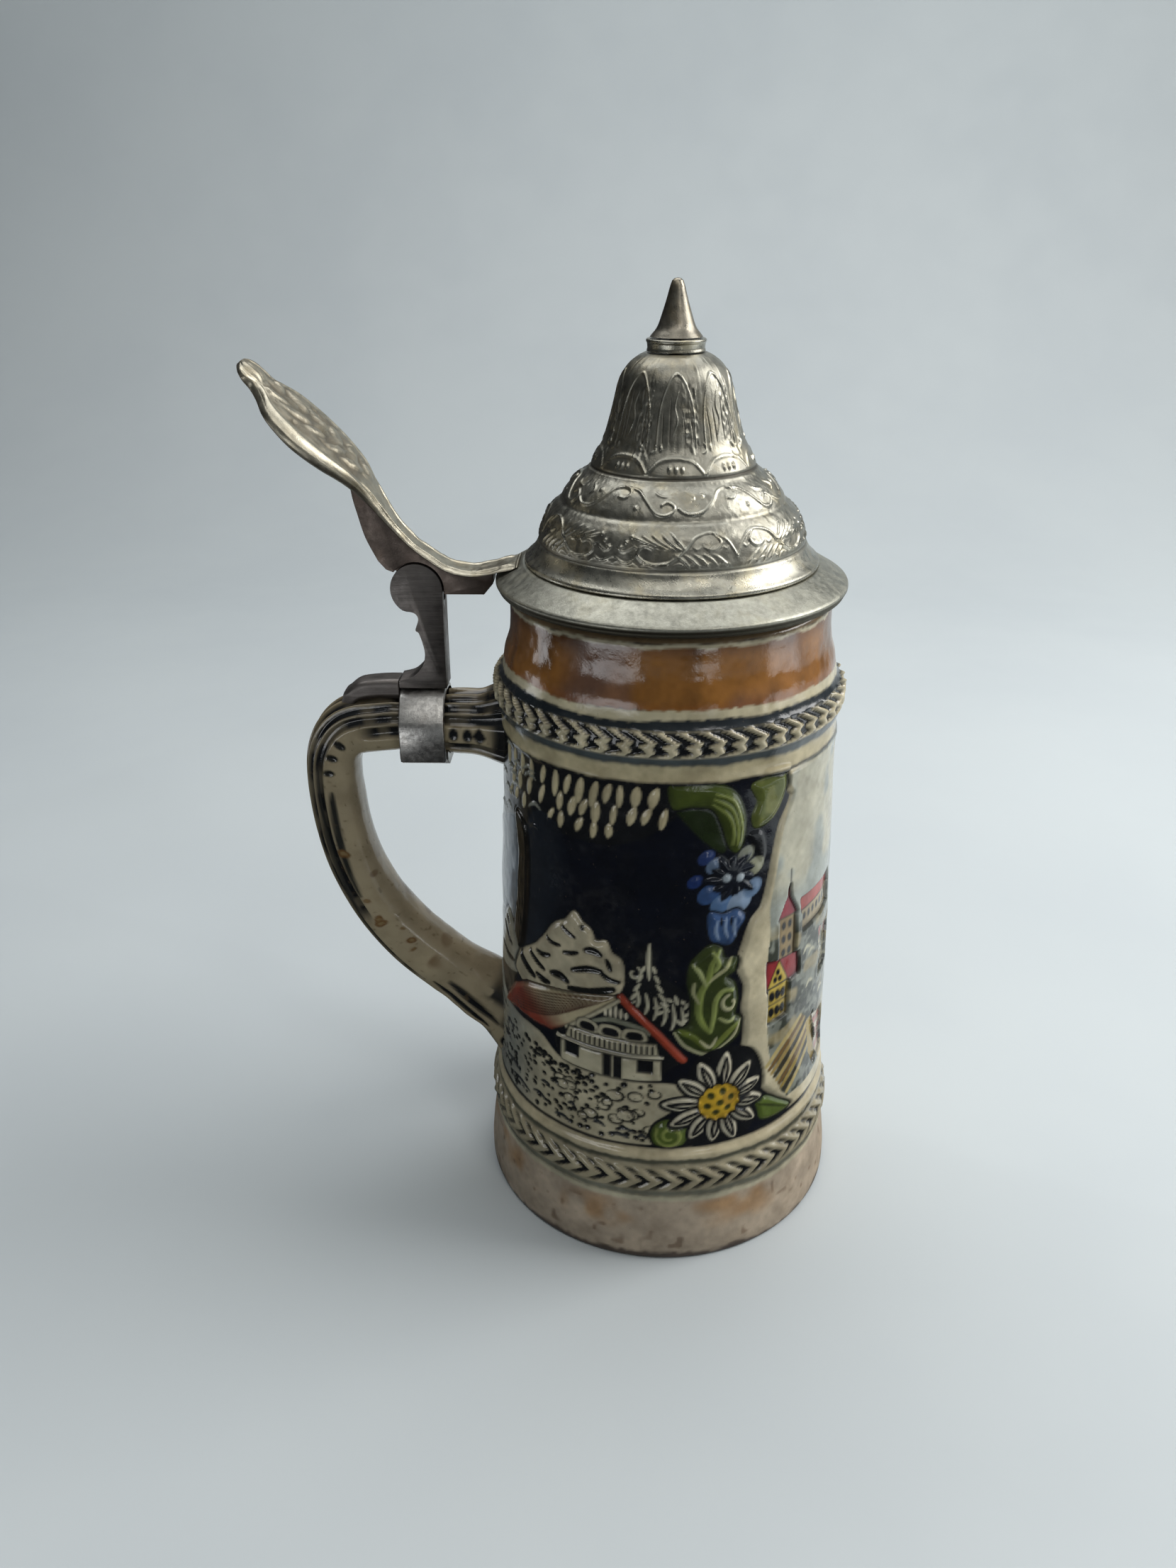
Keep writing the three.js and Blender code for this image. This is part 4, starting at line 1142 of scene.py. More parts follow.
def paint_handle(c, length):
    """Dark flutes on the outside and the sides, a plain inner face, dots by the strap.
    Across, 0 is the outer face's middle, +-12 the sides' middles and +-24 the inner face's middle."""
    x, v = np.meshgrid(c.across, c.up)
    reach = np.abs(x)
    w = v / length

    def grain(size, seed):
        return noise(x, v, size, seed)
    wobble = 0.5 * (noise(v, v * 0, 9, 3) - 0.5)
    flutes = ((0.0, 1.7, -0.1, 0.86), (3.2, 2.4, -0.1, 0.86), (6.4, 2.7, -0.1, 0.8), (9.5, 2.6, -0.1, 0.66),
              (12.3, 2.1, 0.11, 0.27), (15.6, 2.4, -0.1, 0.14))
    for place, width, start, end in flutes:
        here = smooth(w, start, start + 0.03) * smooth(end - w, 0, 0.04)
        depth = width / 2 - np.abs(reach - place - wobble)
        fade = here * (0.72 + 0.28 * smooth(grain(3.2, place), 0.2, 0.6))
        c.wash(c.step(depth) * fade, INK)
        c.height -= 0.8 * smooth(depth + 0.5, 0, 1.2) * here
        c.height += 0.25 * smooth(0.9 - np.abs(np.abs(reach - place) - 1.6), 0, 0.9) * here
    c.wash(smooth(5.6 - v + 3 * grain(2.5, 19), 0, 2.5) * 0.96, INK)
    c.wash(smooth(v, length - 9, length - 5) * smooth(grain(3, 8), 0.25, 0.5), INK)
    c.wash(smooth(grain(4, 11), 0.45, 0.75) * smooth(9 - v, 0, 4) * 0.9, INK)
    for sign in (-1, 1):
        for along in (11.6, 15):
            c.dot((sign * 12.5, along), 1.2, INK, -0.3)
        c.fill([(sign * 12.4, 7), (sign * 14, 8.8), (sign * 12.4, 10.6), (sign * 10.9, 8.8)], INK, -0.2,
               0.0, 0.5, False)
        for k in range(3):
            c.dot((sign * (12.6 - 0.25 * k), length * 0.285 + 2.4 + 4.2 * k), 1.35 - 0.12 * k, 0x22221F,
                  -0.3, 0.8)
        c.stroke([(sign * 12.4, length * 0.3 + 14), (sign * 12.2, length * 0.45),
                  (sign * 11.4, length * 0.6)], 1.5,
                 0x2A2A26, -0.35, 0.6)
        c.stroke([(sign * 9, length * 0.36), (sign * 8.6, length * 0.5), (sign * 8, length * 0.64)], 1.0,
                 0x2E2E2A, -0.3, 0.7)
        c.stroke([(sign * 11.8, length * 0.83), (sign * 11.2, length * 0.89),
                  (sign * 10.6, length * 0.95)], 1.7, INK, -0.4, 0.7)
        c.stroke([(sign * 9.2, length * 0.81), (sign * 8.6, length * 0.88), (sign * 8, length * 0.94)],
                 2.0, INK, -0.4, 0.7)
        for k in range(7):
            spot = (sign * (11 + 6 * hashed(k, 1, 61)), length * (0.5 + 0.24 * hashed(k, 2, 61)))
            c.dot(spot, 0.7 + 0.9 * hashed(k, 3, 61), 0x6E4E2C, -0.1, 0.6, 2 * hashed(k, 4, 61))
            c.dot(spot, 0.4 + 0.4 * hashed(k, 3, 61), 0x8A744F, 0, 0.6, 2 * hashed(k, 4, 61))
    corner = smooth(reach, 12.5, 14.5) * smooth(w, 0.885, 0.91) * smooth(grain(2.2, 8), 0.25, 0.4)
    c.wash(corner * 0.95, INK)
    rust = smooth(grain(4.4, 31), 0.74,
                  0.84) * smooth(w, 0.5, 0.58) * smooth(0.85 - w, 0, 0.1) * smooth(reach, 9, 12)
    c.wash(rust * 0.8, 0x5E4024)
    # Painted shade: the inner face, turned towards the mug, is darkened.
    shade = smooth(reach, 15, 20)
    c.wash(shade * 0.5, 0x847660)
    c.wash(smooth(grain(1.1, 37), 0.85, 0.95) * 0.5, 0x5A4A33)


def stein_handle():
    """The handle: a bar along handle_path, painted, cut back a little where the strap sits."""
    rows, around = ((440, 112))
    t = np.linspace(0, 1, rows)
    thick = blend_of(handle_thickness, t)
    wide = blend_of(handle_width, t)
    grid, angle = lofted_grid(handle_path, t, around, thick, wide, 2.5)
    centre = grid.mean(1)
    run = np.concatenate([[0], np.cumsum(np.linalg.norm(np.diff(centre, axis=0), axis=1))])
    across = (angle / np.pi - 1) * HANDLE_GIRTH / 2
    canvas = Canvas(across, run, srgb(0xA6987C))
    canvas.edge = 0.55
    paint_handle(canvas, run[-1])
    x, v = np.meshgrid(across, run)
    height = canvas.height + 0.35 * (noise(x, v, 9, 2) - 0.5) + 0.12 * (noise(x, v, 2.4, 3) - 0.5)
    color = canvas.color * (0.8 + 0.35 * noise(x, v, 6, 41)[..., None])
    normal = grid_normals(grid)
    if (normal[:, 0] * (grid[:, 0] - centre)).sum() < 0:
        normal = -normal
    under_strap = smooth(x * 0 + grid[..., 0], -66,
                         -64.5) * smooth(-51.5 - grid[..., 0], 0, 1.5) * (grid[..., 2] > 110)
    grid += normal * (np.minimum(height, 0.2) - 0.15 * under_strap)[..., None]
    radius = np.hypot(grid[..., 0], grid[..., 1])
    wall = np.interp(grid[..., 2], [60, 110, 120, 150], [40.2, 38.4, 37.4, 37.2])
    push = np.maximum(wall / np.maximum(radius, 1), 1)
    grid[..., :2] *= push[..., None]
    obj = outward(new_object("stoneware_handle", *capped(grid)))
    set_color(obj, "paint", np.concatenate([color.reshape(-1, 3), [INK, INK]]))
    set_value(obj, "bare", np.zeros(len(obj.data.vertices)))
    return obj


piece(stein_handle(), "mug", "handle_stoneware", stoneware, "stein_handle")

# ---------------------------------------------------------------- the hinge and its strap

post_bottom = 138.1
post_outline = [(-52.6, post_bottom), (-52.5, 150)]
for degrees in range(0, 239, 6):
    turn = math.radians(degrees)
    post_outline.append((hinge_x + CHEEK_RADIUS * math.cos(turn), hinge_z + CHEEK_RADIUS * math.sin(turn)))
back_edge = [
    (-61.5, 157.1), (-59.2, 156.7), (-58.3, 155.2), (-59.1, 152.6), (-58.4, 151.8), (-57.6, 149.1),
    (-57.3, 146.4), (-58.1, 143.6), (-60.6, 141), (-63.9, 140),
]
post_outline += [tuple(p) for p in spline(back_edge, 7)[2:]]
post_outline.append((-63.9, post_bottom))

post = slab("hinge_post_fork", post_outline, -HINGE_HALF_WIDTH, HINGE_HALF_WIDTH)
combine(post, rod("slot", SOCKET_RADIUS + GAP, -SLOT_HALF_WIDTH, SLOT_HALF_WIDTH), "DIFFERENCE")
rounded_edges(post, 0.28)
post_metal = pewter("brushed_post", (0.175, 0.16, 0.15), (0.06, 0.055, 0.052), 4, (0.4, 0.58), (0.05, 1, 1.6),
                    (0.175, 0.15, 0.135))
piece(post, "mug", "post_zinc", post_metal, "hinge_post", "hinge_pin")

tongue_path = [(-64.2, 136.6), (-68.5, 136.6), (-72.6, 136.2), (-75.6, 135), (-78, 133.6)]


def saddle_tongue():
    """The tongue behind the post: its near face is flat and its top is a soft ridge."""
    t = np.linspace(0, 1, 60)
    thick = blend_of([(0, 3.4), (0.5, 3.2), (0.8, 2.4), (1, 1)], t)
    wide = blend_of([(0, HINGE_HALF_WIDTH), (0.7, HINGE_HALF_WIDTH), (1, 2.6)], t)
    grid, _ = lofted_grid(tongue_path, t, 64, thick, wide, 5)
    floor = np.interp(-grid[..., 0], [64, 70, 74, 76, 78], [135.6, 135.6, 135.1, 133.6, 132.2])
    ragged = 0.35 * (noise(grid[..., 0], grid[..., 1], 1.5, 3) - 0.5)
    grid[..., 2] = np.maximum(grid[..., 2], floor + ragged)
    return outward(new_object("strap_tongue", *capped(grid)))


piece(saddle_tongue(), "mug", "post_zinc", post_metal, "saddle_tongue")

ARM_Z = 128.6
ARM_HALF_HEIGHT = 7.4
ARM_HALF_WIDTH = 7.5


def arm_section(grow, leg_z):
    """Half of the strap's outline in the YZ plane: over the arm and down to leg_z."""
    angle = np.linspace(0, np.pi, 49)
    y = (ARM_HALF_WIDTH + grow) * np.sign(np.cos(angle)) * np.abs(np.cos(angle)) ** 0.8
    z = ARM_Z + (ARM_HALF_HEIGHT + grow) * np.sin(angle) ** 0.8
    return [(ARM_HALF_WIDTH + grow, leg_z), *zip(y, z), (-ARM_HALF_WIDTH - grow, leg_z)]


def folded_section(grow, leg_z):
    """The strap's outside: upright legs, a flat facet above each, and a low crown."""
    half, top = ARM_HALF_WIDTH + grow, ARM_Z + ARM_HALF_HEIGHT + grow
    side = [(half, leg_z), (half, ARM_Z + 1.4), (half - 0.5, ARM_Z + 2.8), (half - 4, top - 1.5),
            (half - 6, top - 0.3)]
    return [*side, (0, top), *[(-y, z) for y, z in reversed(side)]]


def strap_band():
    """The strap folded over the handle's arm."""
    outer = folded_section(1.8, band_low.z)
    inner = arm_section(GAP, band_low.z)[::-1]
    outline = np.array(outer + inner)
    obj = slab("strap_band", outline, 0, band_high.x - band_low.x)
    co = np.array([v.co for v in obj.data.vertices])
    turned_co = np.stack([band_low.x * MM + co[:, 1], co[:, 0], co[:, 2]], 1)
    obj.data.vertices.foreach_set("co", turned_co.astype(np.float32).ravel())
    outward(obj)
    return rounded_edges(obj, 0.35)


strap_metal = pewter("mottled_strap", (0.44, 0.43, 0.41), (0.12, 0.115, 0.11), 1.6, (0.28, 0.52),
                     (1, 1.3, 0.8), (0.36, 0.33, 0.3))
piece(strap_band(), "mug", "strap_zinc", strap_metal, "handle_strap_band")
wear(frame["nodes"]["handle_strap_closure"], strap_metal)

# ---------------------------------------------------------------- the thumblift

lift_path = [
    (-34.6, 168.1), (-38, 167.4), (-42, 166.4), (-46, 166), (-50.4, 166.9), (-54.7, 169.4), (-59, 172.7),
    (-63.2, 177.4), (-67, 183), (-70.7, 188), (-75.1, 192.2), (-80.2, 196.9), (-85.3, 202.2),
    (-89.6, 207.1), (-93.2, 211.6),
]
LIFT_LENGTH = 75     # the lever's length along its path, for placing its ornament
lift_thickness = [(0, 0.9), (0.3, 0.9), (0.5, 1.1), (0.62, 1.9), (0.8, 2.7), (0.88, 2.2), (0.95, 1.8),
                  (1, 0.9)]
lift_width = [
    (0, 6.8), (0.12, 5.8), (0.3, 4.9), (0.5, 4.6), (0.58, 6.6), (0.66, 10.8), (0.74, 13.9), (0.81, 14.4),
    (0.87, 11.8), (0.905, 7.4), (0.93, 5.6), (0.96, 6), (0.985, 4.4), (1, 1.6),
]


def lift_relief(y, w, wide):
    """A rim, a stem with paired leaves and small pits on the plate, and a beaded edge on the strap."""
    plate = smooth(w, 0.57, 0.66) * smooth(0.93 - w, 0, 0.03)
    edge = 1 - np.abs(y) / wide
    rim = smooth(0.26 - edge, 0, 0.1)
    field = smooth(edge, 0.24, 0.4)
    v = (w - 0.765) * LIFT_LENGTH
    leaves = np.zeros_like(y)
    for k in range(6):
        turn = 0.75 + 0.25 * math.sin(5 * k)
        du, dv = np.abs(y) - 4.2 + 0.35 * abs(k - 3), v + 9 - 4.1 * k + 1.2 * np.sign(y)
        along = du * math.cos(turn) + dv * math.sin(turn)
        over = dv * math.cos(turn) - du * math.sin(turn)
        leaves = np.maximum(leaves, smooth(1.2 - (along / 3.3) ** 2 - (over / 1.25) ** 2, 0, 0.9))
    stem = smooth(0.8 - np.abs(y + 0.8 * np.sin(v * 0.5)), 0, 0.6)
    pits = smooth(noise(y, w * LIFT_LENGTH, 2.1, 15), 0.76, 0.92)
    lumps = noise(y, w * LIFT_LENGTH, 2.6, 5) + 0.5 * noise(y, w * LIFT_LENGTH, 1.1, 7) - 0.75
    strap = (1 - plate) * smooth(np.abs(np.abs(y) - 0.62 * wide), 0.9, 0.3) * smooth(w, 0.02, 0.05)
    face = plate * (0.45 * rim + field * (0.5 * np.maximum(leaves, stem) + 0.35 * lumps - 0.4 * pits))
    knob = smooth(1 - np.hypot(y + 1.5, (w - 0.955) * LIFT_LENGTH) / 3.4, 0, 0.7)
    return face + (0.3 * strap + 0.25 * lumps) * (1 - plate) + 0.8 * knob


def thumblift():
    """The lever: a bar along lift_path that widens into the ornamental plate, trimmed to the lid's cone."""
    rows, around = 420, 160
    t = np.linspace(0, 1, rows)
    thick = curve_of(lift_thickness, t)
    wide = curve_of(lift_width, t)
    grid, angle = lofted_grid(lift_path, t, around, thick, wide, 2.8)
    w = np.repeat(t[:, None], around, 1)
    relief = lift_relief(grid[..., 1], w, wide[:, None])
    face = smooth(-np.cos(angle), 0.25, 0.7)
    normal = grid_normals(grid)
    centre = grid.mean(1, keepdims=True)
    if (normal[rows // 2] * (grid[rows // 2] - centre[rows // 2])).sum() < 0:
        normal = -normal
    inner = smooth(np.minimum(t, 1 - t) * 60)[:, None]
    grid += normal * ((relief * face - 0.25) * inner)[..., None]
    flat_ground = (grid[..., 0] > -42) & (np.cos(angle) > -0.2)
    cone = 165.9 + (np.hypot(grid[..., 0], grid[..., 1]) - 40) * (-3.4 / 6.2)
    grid[..., 2] = np.where(flat_ground, np.maximum(grid[..., 2], np.minimum(cone, 169.4)), grid[..., 2])
    obj = outward(new_object("thumblift_lever", *capped(grid)))
    field = smooth(1 - np.abs(grid[..., 1]) / wide[:, None], 0.2, 0.36) * smooth(w, 0.58, 0.66)
    low = face * (0.3 * field + smooth(0.2 - relief, -0.1, 0.3) * (0.2 + 0.3 * field))
    # Painted shade: the lever's underside, away from its ornamented face, is darkened; the plate's field and
    # hollows keep dark patina.
    low = low + 0.75 * smooth(np.cos(angle), 0.0, 0.5)
    set_value(obj, "patina_and_shade", np.concatenate([low.ravel(), [0, 0]]))
    return obj


def web_outline(hinge_part):
    """The web's outline, closed by the given points where it meets the hinge."""
    back = spline([(-71.6, 188), (-71.2, 183.5), (-70.3, 179.3), (-69, 174.2), (-66.6, 168.9)], 6)
    strap = spline([(-40.5, 166.6), (-46, 166), (-50.4, 166.9), (-54.7, 169.4), (-59, 172.7), (-63.2, 177.4),
                    (-67, 183), (-70.6, 188.2)], 6)
    return [*map(tuple, back), (-64.9, 166.9), (-63.4, 166.3), *hinge_part, (-51.7, 161.1), (-42.7, 161.1),
            (-40.5, 163.7), *map(tuple, strap)]


def thumblift_web():
    """The web under the lever: round sockets for the post's cheeks with a knuckle between them."""
    half = HINGE_HALF_WIDTH - GAP
    web = slab("thumblift_web", web_outline([(hinge_x, hinge_z)]), -half, half)
    for low, high in ((-9, -KNUCKLE_HALF_WIDTH), (KNUCKLE_HALF_WIDTH, 9)):
        combine(web, rod("socket", SOCKET_RADIUS, low, high), "DIFFERENCE")
    combine(web, rod("knuckle", KNUCKLE_RADIUS, -KNUCKLE_HALF_WIDTH, KNUCKLE_HALF_WIDTH), "UNION")
    columns = 128
    ring = np.arange(columns) * 2 * np.pi / columns
    profile = np.array([(20, 150), (flange_radius + GAP, 150), (flange_radius + GAP, 165.4), (39.7, 165.9),
                        (33.8, 169.35), (20, 169.35)])
    grid = np.stack([profile[:, :1] * np.cos(ring), profile[:, :1] * np.sin(ring),
                     np.repeat(profile[:, 1:], columns, 1)], -1)
    keep_out = outward(new_object("keep_out", *capped(grid), smooth_faces=False))
    combine(web, keep_out, "DIFFERENCE")
    return rounded_edges(web, 0.25)


lever_metal = pewter("tarnished_lever", (0.52, 0.48, 0.38), (0.13, 0.11, 0.08), 2.4, (0.27, 0.48), None,
                     (0.36, 0.3, 0.19))
# The web is cast with the lever but gets a much darker copy of its pewter, as painted shade under the lever.
web_metal_painted_shade = pewter("cast_web_painted_shade", (0.185, 0.15, 0.13), (0.07, 0.055, 0.05), 3.4, (0.42, 0.62), None,
                   (0.2, 0.15, 0.12))
piece(thumblift(), "lid", "thumblift_pewter", lever_metal, "thumblift")
piece(thumblift_web(), "lid", "thumblift_pewter", web_metal_painted_shade, "thumblift")

# ---------------------------------------------------------------- the lid

flange_profile = [
    (29.6, 159.8), (30.9, 159.8), (31.4, 160.3), (31.4, flange_bottom_z), (38.8, flange_bottom_z),
    (39.5, 163.4), (39.5, 164.1), (flange_radius, 164.4), (flange_radius, 165.2), (39.6, 165.6),
    (33.8, 169), (29.6, 169), (29.6, 159.8),
]
dome_outside = [
    (33.2, 169.3), (33.2, 170), (31.9, 171), (30.7, 172.6), (30.1, 174), (29.6, 175.8), (28.9, 178),
    (27.8, 180.4), (25.7, 182.4), (24.9, 182.9), (24.4, 184.2), (23.3, 185.7), (21.8, 187.4),
    (19.2, 189.2), (18.4, 190), (17.8, 191.4), (16.4, 193.8), (15.2, 195.8), (14.4, 198.4), (13.5, 201.6),
    (12.8, 204.4), (12.1, 207.2), (11.3, 209.4), (9.9, 211.3), (7.8, 212.8), (6.7, 213.3),
]
dome_inside = [
    (1.8, 213.3), (1.8, 211.7), (7.2, 211.4), (9.4, 209.2), (10.6, 206), (12.6, 198), (14.6, 193),
    (16.8, 189), (21.2, 185.6), (23, 182.2), (26, 180.2), (27.8, 176), (28.6, 173), (30, 169.3),
]
# The strip that the dome's ornament is drawn on is as long as the way round a radius of 30
DOME_ROUND = 188.5
BELL_PANELS = 9


def in_cell(start, width, low=0, high=1, flip=False):
    """A function that puts points drawn in a unit square into one cell of a strip, mirrored if flip."""
    return lambda points: [(start + width * (1 - u if flip else u), low + (high - low) * v) for u,
                           v in points]


def lid_scrollwork(c, height_at):
    """Ornament on the dome's two tiers and its bell. height_at(z) gives the place up the strip."""
    low, high = height_at(174.8), height_at(181.6)
    cells = 7
    width = DOME_ROUND / cells
    for k in range(-1, cells + 1):
        at = in_cell(k * width - DOME_ROUND / 2, width, low, high, k % 2)
        c.stroke(at([(0.0, 0.25), (0.08, 0.7), (0.2, 0.92), (0.34, 0.8), (0.44, 0.45), (0.56, 0.14),
                     (0.7, 0.1), (0.8, 0.3), (0.76, 0.55), (0.68, 0.5)]), 0.8, None, 0.6, 0.3)
        c.stroke(at([(0.2, 0.92), (0.13, 0.66), (0.2, 0.45), (0.28, 0.56)]), 0.65, None, 0.55, 0.4)
        for leaf in range(5):
            u = 0.48 + 0.075 * leaf
            c.stroke(at([(0.42 + 0.04 * leaf, 0.46), (u, 0.7), (u + 0.07, 0.98 - 0.05 * leaf)]), 0.75,
                     None, 0.5, 0.6)
        for leaf in range(5):
            u = 0.14 + 0.075 * leaf
            c.stroke(at([(u + 0.07, 0.36), (u, 0.2), (u - 0.05, 0.0)]), 0.75, None, 0.5, 0.6)
        for berry in range(3):
            c.dot(at([(0.86 + 0.045 * berry, 0.78 - 0.16 * berry)])[0], 0.6, None, 0.55)
        for crescent in range(8):
            u = 0.06 + 0.12 * crescent
            c.stroke(at([(u, 0.56), (u + 0.03, 0.48), (u + 0.06, 0.55)]), 0.5, None, 0.4, 0.4)
            c.stroke(at([(u, 0.0), (u + 0.05, 0.12), (u + 0.11, 0.05)]), 0.5, None, 0.35, 0.4)
        c.stroke(at([(0.82, 0.2), (0.9, 0.08), (1.0, 0.25)]), 0.8, None, 0.5, 0.5)
        c.stroke(at([(0.84, 0.52), (0.92, 0.36), (0.98, 0.5)]), 0.6, None, 0.5, 0.5)

    low, high = height_at(183.6), height_at(188.8)
    cells = 6
    width = DOME_ROUND / cells
    for k in range(-1, cells + 1):
        at = in_cell(k * width - DOME_ROUND / 2, width, low, high)
        c.stroke(at([(0.02, 0.3), (0.1, 0.14), (0.22, 0.2), (0.32, 0.5), (0.4, 0.84), (0.5, 0.94),
                     (0.58, 0.78), (0.54, 0.56), (0.47, 0.58)]), 1.0, None, 0.5)
        c.stroke(at([(0.5, 0.94), (0.64, 0.86), (0.74, 0.52), (0.84, 0.14), (0.94, 0.12), (0.99, 0.34),
                     (0.93, 0.5), (0.88, 0.4)]), 1.0, None, 0.5)
        c.dot(at([(0.24, 0.72)])[0], 0.85, None, 0.5)
        c.dot(at([(0.66, 0.28)])[0], 0.75, None, 0.5)
        c.stroke(at([(0.08, 0.9), (0.16, 0.66), (0.12, 0.5)]), 0.9, None, 0.45, 0.6)
        c.stroke(at([(0.8, 0.86), (0.86, 0.7), (0.96, 0.66)]), 0.9, None, 0.45, 0.6)

    foot, shoulder, top = height_at(191.2), height_at(196.4), height_at(209.6)
    width = DOME_ROUND / BELL_PANELS
    for k in range(-1, BELL_PANELS + 1):
        at = in_cell(k * width - DOME_ROUND / 2, width)
        arch = [(0.1, shoulder), (0.12, (shoulder + top) / 2), (0.26, top - 2), (0.5, top + 0.6),
                (0.74, top - 2), (0.88, (shoulder + top) / 2), (0.9, shoulder)]
        c.stroke(at(arch), 1.1, None, 0.38)
        for place in (0.2, 0.36, 0.64, 0.8):
            u = place + 0.1 * (hashed(k, place, 3) - 0.5)
            reach = top - 3 - 6 * hashed(k, place, 4)
            c.stroke(at([(u, shoulder + 0.6), (u, (shoulder + reach) / 2), (place, reach)]), 0.65, None,
                     -0.35, 0.3)
        c.stroke(at([(0.42, shoulder + 2), (0.52, shoulder + 5), (0.46, top - 6), (0.54, top - 3)]), 1.0,
                 None, 0.38, 0.5)
        c.dot(at([(0.2, shoulder - 0.4)])[0], 1.0, None, 0.4)
        c.dot(at([(0.8, shoulder - 0.4)])[0], 1.0, None, 0.4)
        c.stroke(at([(0.02, foot), (0.2, foot + 2.6), (0.5, foot + 3.4), (0.8, foot + 2.6),
                     (0.98, foot)]), 1.5, None, 0.35)
        for bead in (-1, 0, 1):
            c.dot(at([(0.5 + 0.11 * bead, foot + 1.1)])[0], 1.1, None, 0.5)
        c.stroke(at([(0.0, foot + 4.4), (0.1, shoulder - 1), (0.06, shoulder + 0.6)]), 1.2, None, 0.35, 0.5)


def lid_dome():
    """The dome and bell with their cast ornament, hollow inside."""
    columns = 840
    across = (np.arange(columns) / columns - 0.5) * DOME_ROUND
    outside = resampled(softened(dome_outside, 1.1, 4), 0.24)
    run = np.concatenate([[0], np.cumsum(np.hypot(*np.diff(outside, axis=0).T))])
    canvas = Canvas(across, run, srgb(0x808080))

    def height_at(z):
        return float(np.interp(z, outside[:, 1], run))
    lid_scrollwork(canvas, height_at)
    x, v = np.meshgrid(across, run)
    z = np.repeat(outside[:, 1:], columns, 1)

    def grain(size, seed):
        return noise(x, v, size, seed, DOME_ROUND)
    lift = 0.6 * canvas.height * smooth(z, 174.2, 174.8)
    groove = smooth(0.45 - np.abs(z - 174.1), 0, 0.4) + smooth(0.5 - np.abs(z - 190.3), 0, 0.4)
    panel = (x + 4) / DOME_ROUND * BELL_PANELS % 1
    hammered = (grain(1.0, 3) - 0.5) * smooth(0.22 - np.abs(panel - 0.5), 0, 0.1)
    lift += 0.3 * hammered * smooth(z, 192, 195) * smooth(210 - z, 0, 3)
    ground = grain(0.9, 6) * smooth(z, 174.6, 175.4) * smooth(191 - z, 0, 1)
    lift += 0.07 * ground - 0.3 * groove + 0.06 * (grain(3.2, 8) - 0.5)
    lift += 0.06 * (noise(x, v * 0.08, 1.3, 12, DOME_ROUND) - 0.5) * smooth(z, 193, 196)

    lift *= smooth(z, 169.9, 171.5) * smooth(213 - z, 0, 0.8)
    inner = resampled(np.array(dome_inside), 1.0)
    grid = rings_of([displaced(outside, lift), round_rows(inner, columns)], across / DOME_ROUND)
    rows = len(grid)
    faces = [np.concatenate([ring_faces(rows, columns), wrap_faces(rows, columns)])]
    obj = outward(new_object("pewter_dome", grid.reshape(-1, 3), faces))
    patina_and_shade = smooth(0.16 - lift, 0, 0.2) * smooth(z, 174, 175) * 0.34 + 0.6 * np.clip(groove, 0, 1)
    patina_and_shade += 0.45 * smooth(-lift, 0.06, 0.2) * smooth(z, 192, 195)
    patina_and_shade = np.concatenate([patina_and_shade, np.full((len(inner), columns), 0.35)])
    set_value(obj, "patina_and_shade", patina_and_shade.ravel())
    return obj


dome_metal = pewter("antique_pewter", (0.43, 0.415, 0.35), (0.06, 0.055, 0.045), 2.6, (0.22, 0.4), None,
                    (0.46, 0.4, 0.26))
flange_metal = pewter("oxidised_flange", (0.33, 0.325, 0.275), (0.085, 0.08, 0.06), 3.0, (0.34, 0.52),
                      (1, 1, 1), (0.34, 0.32, 0.24))
spire_metal = pewter("bronzed_spire", (0.3, 0.275, 0.225), (0.1, 0.09, 0.07), 2.0, (0.26, 0.42), None,
                     (0.27, 0.22, 0.14))

lid_ring = turned("lid_ring", softened(flange_profile, 0.3))
ring_height = np.array([v.co.z / MM for v in lid_ring.data.vertices])
# Painted shade: the ring's outer edge and its underside, below its top face, are darkened.
set_value(lid_ring, "patina_and_shade", 0.95 * smooth(165.0 - ring_height, 0, 0.4))
piece(lid_ring, "lid", "flange_pewter", flange_metal, "lid_flange")
piece(lid_dome(), "lid", "dome_pewter", dome_metal, "lid_dome")

collar_profile = [
    (1.8, 213.6), (6.3, 213.6), (6.1, 214.2), (6.2, 215.2), (6.4, 215.5), (6.4, 215.9), (6.1, 216.1),
    (1.8, 216.1), (1.8, 213.6),
]
spire_curve = spline([(5.6, 216.4), (5.1, 217), (4.05, 218.4), (3.1, 221), (2.2, 223.9), (1.5, 226.4)], 6)
spire_profile = [(0, 216.4), (1.8, 216.4), *map(tuple, spire_curve), (1.2, 227.2), (0.7, 227.65),
                 (0, spire_tip_z)]
piece(turned("finial_ring", softened(collar_profile, 0.15), 128), "lid", "dome_pewter", dome_metal,
      "finial_collar")
piece(turned("finial_point", spire_profile, 128), "lid", "spire_pewter", spire_metal, "finial_spire")

steel = pewter("drawn_steel", (0.5, 0.5, 0.5), (0.2, 0.2, 0.2), 2.0, (0.25, 0.4))
wear(frame["nodes"]["finial_screw"], steel)

# ---------------------------------------------------------------- stage, light and camera

CAMERA_PLACE = (-9.22691, -264.22419, 240.56083)
CAMERA_RIGHT = (0.99937278, 0.034885, -0.0060895)
CAMERA_UP = (-0.00983477, 0.43860627, 0.89862551)
CAMERA_AHEAD = (-0.03401945, 0.89800199, -0.43867426)
FOCAL_LENGTH = 27.05
SENSOR_WIDTH = 36
NECK_MIDDLE = (0, 0, 154)


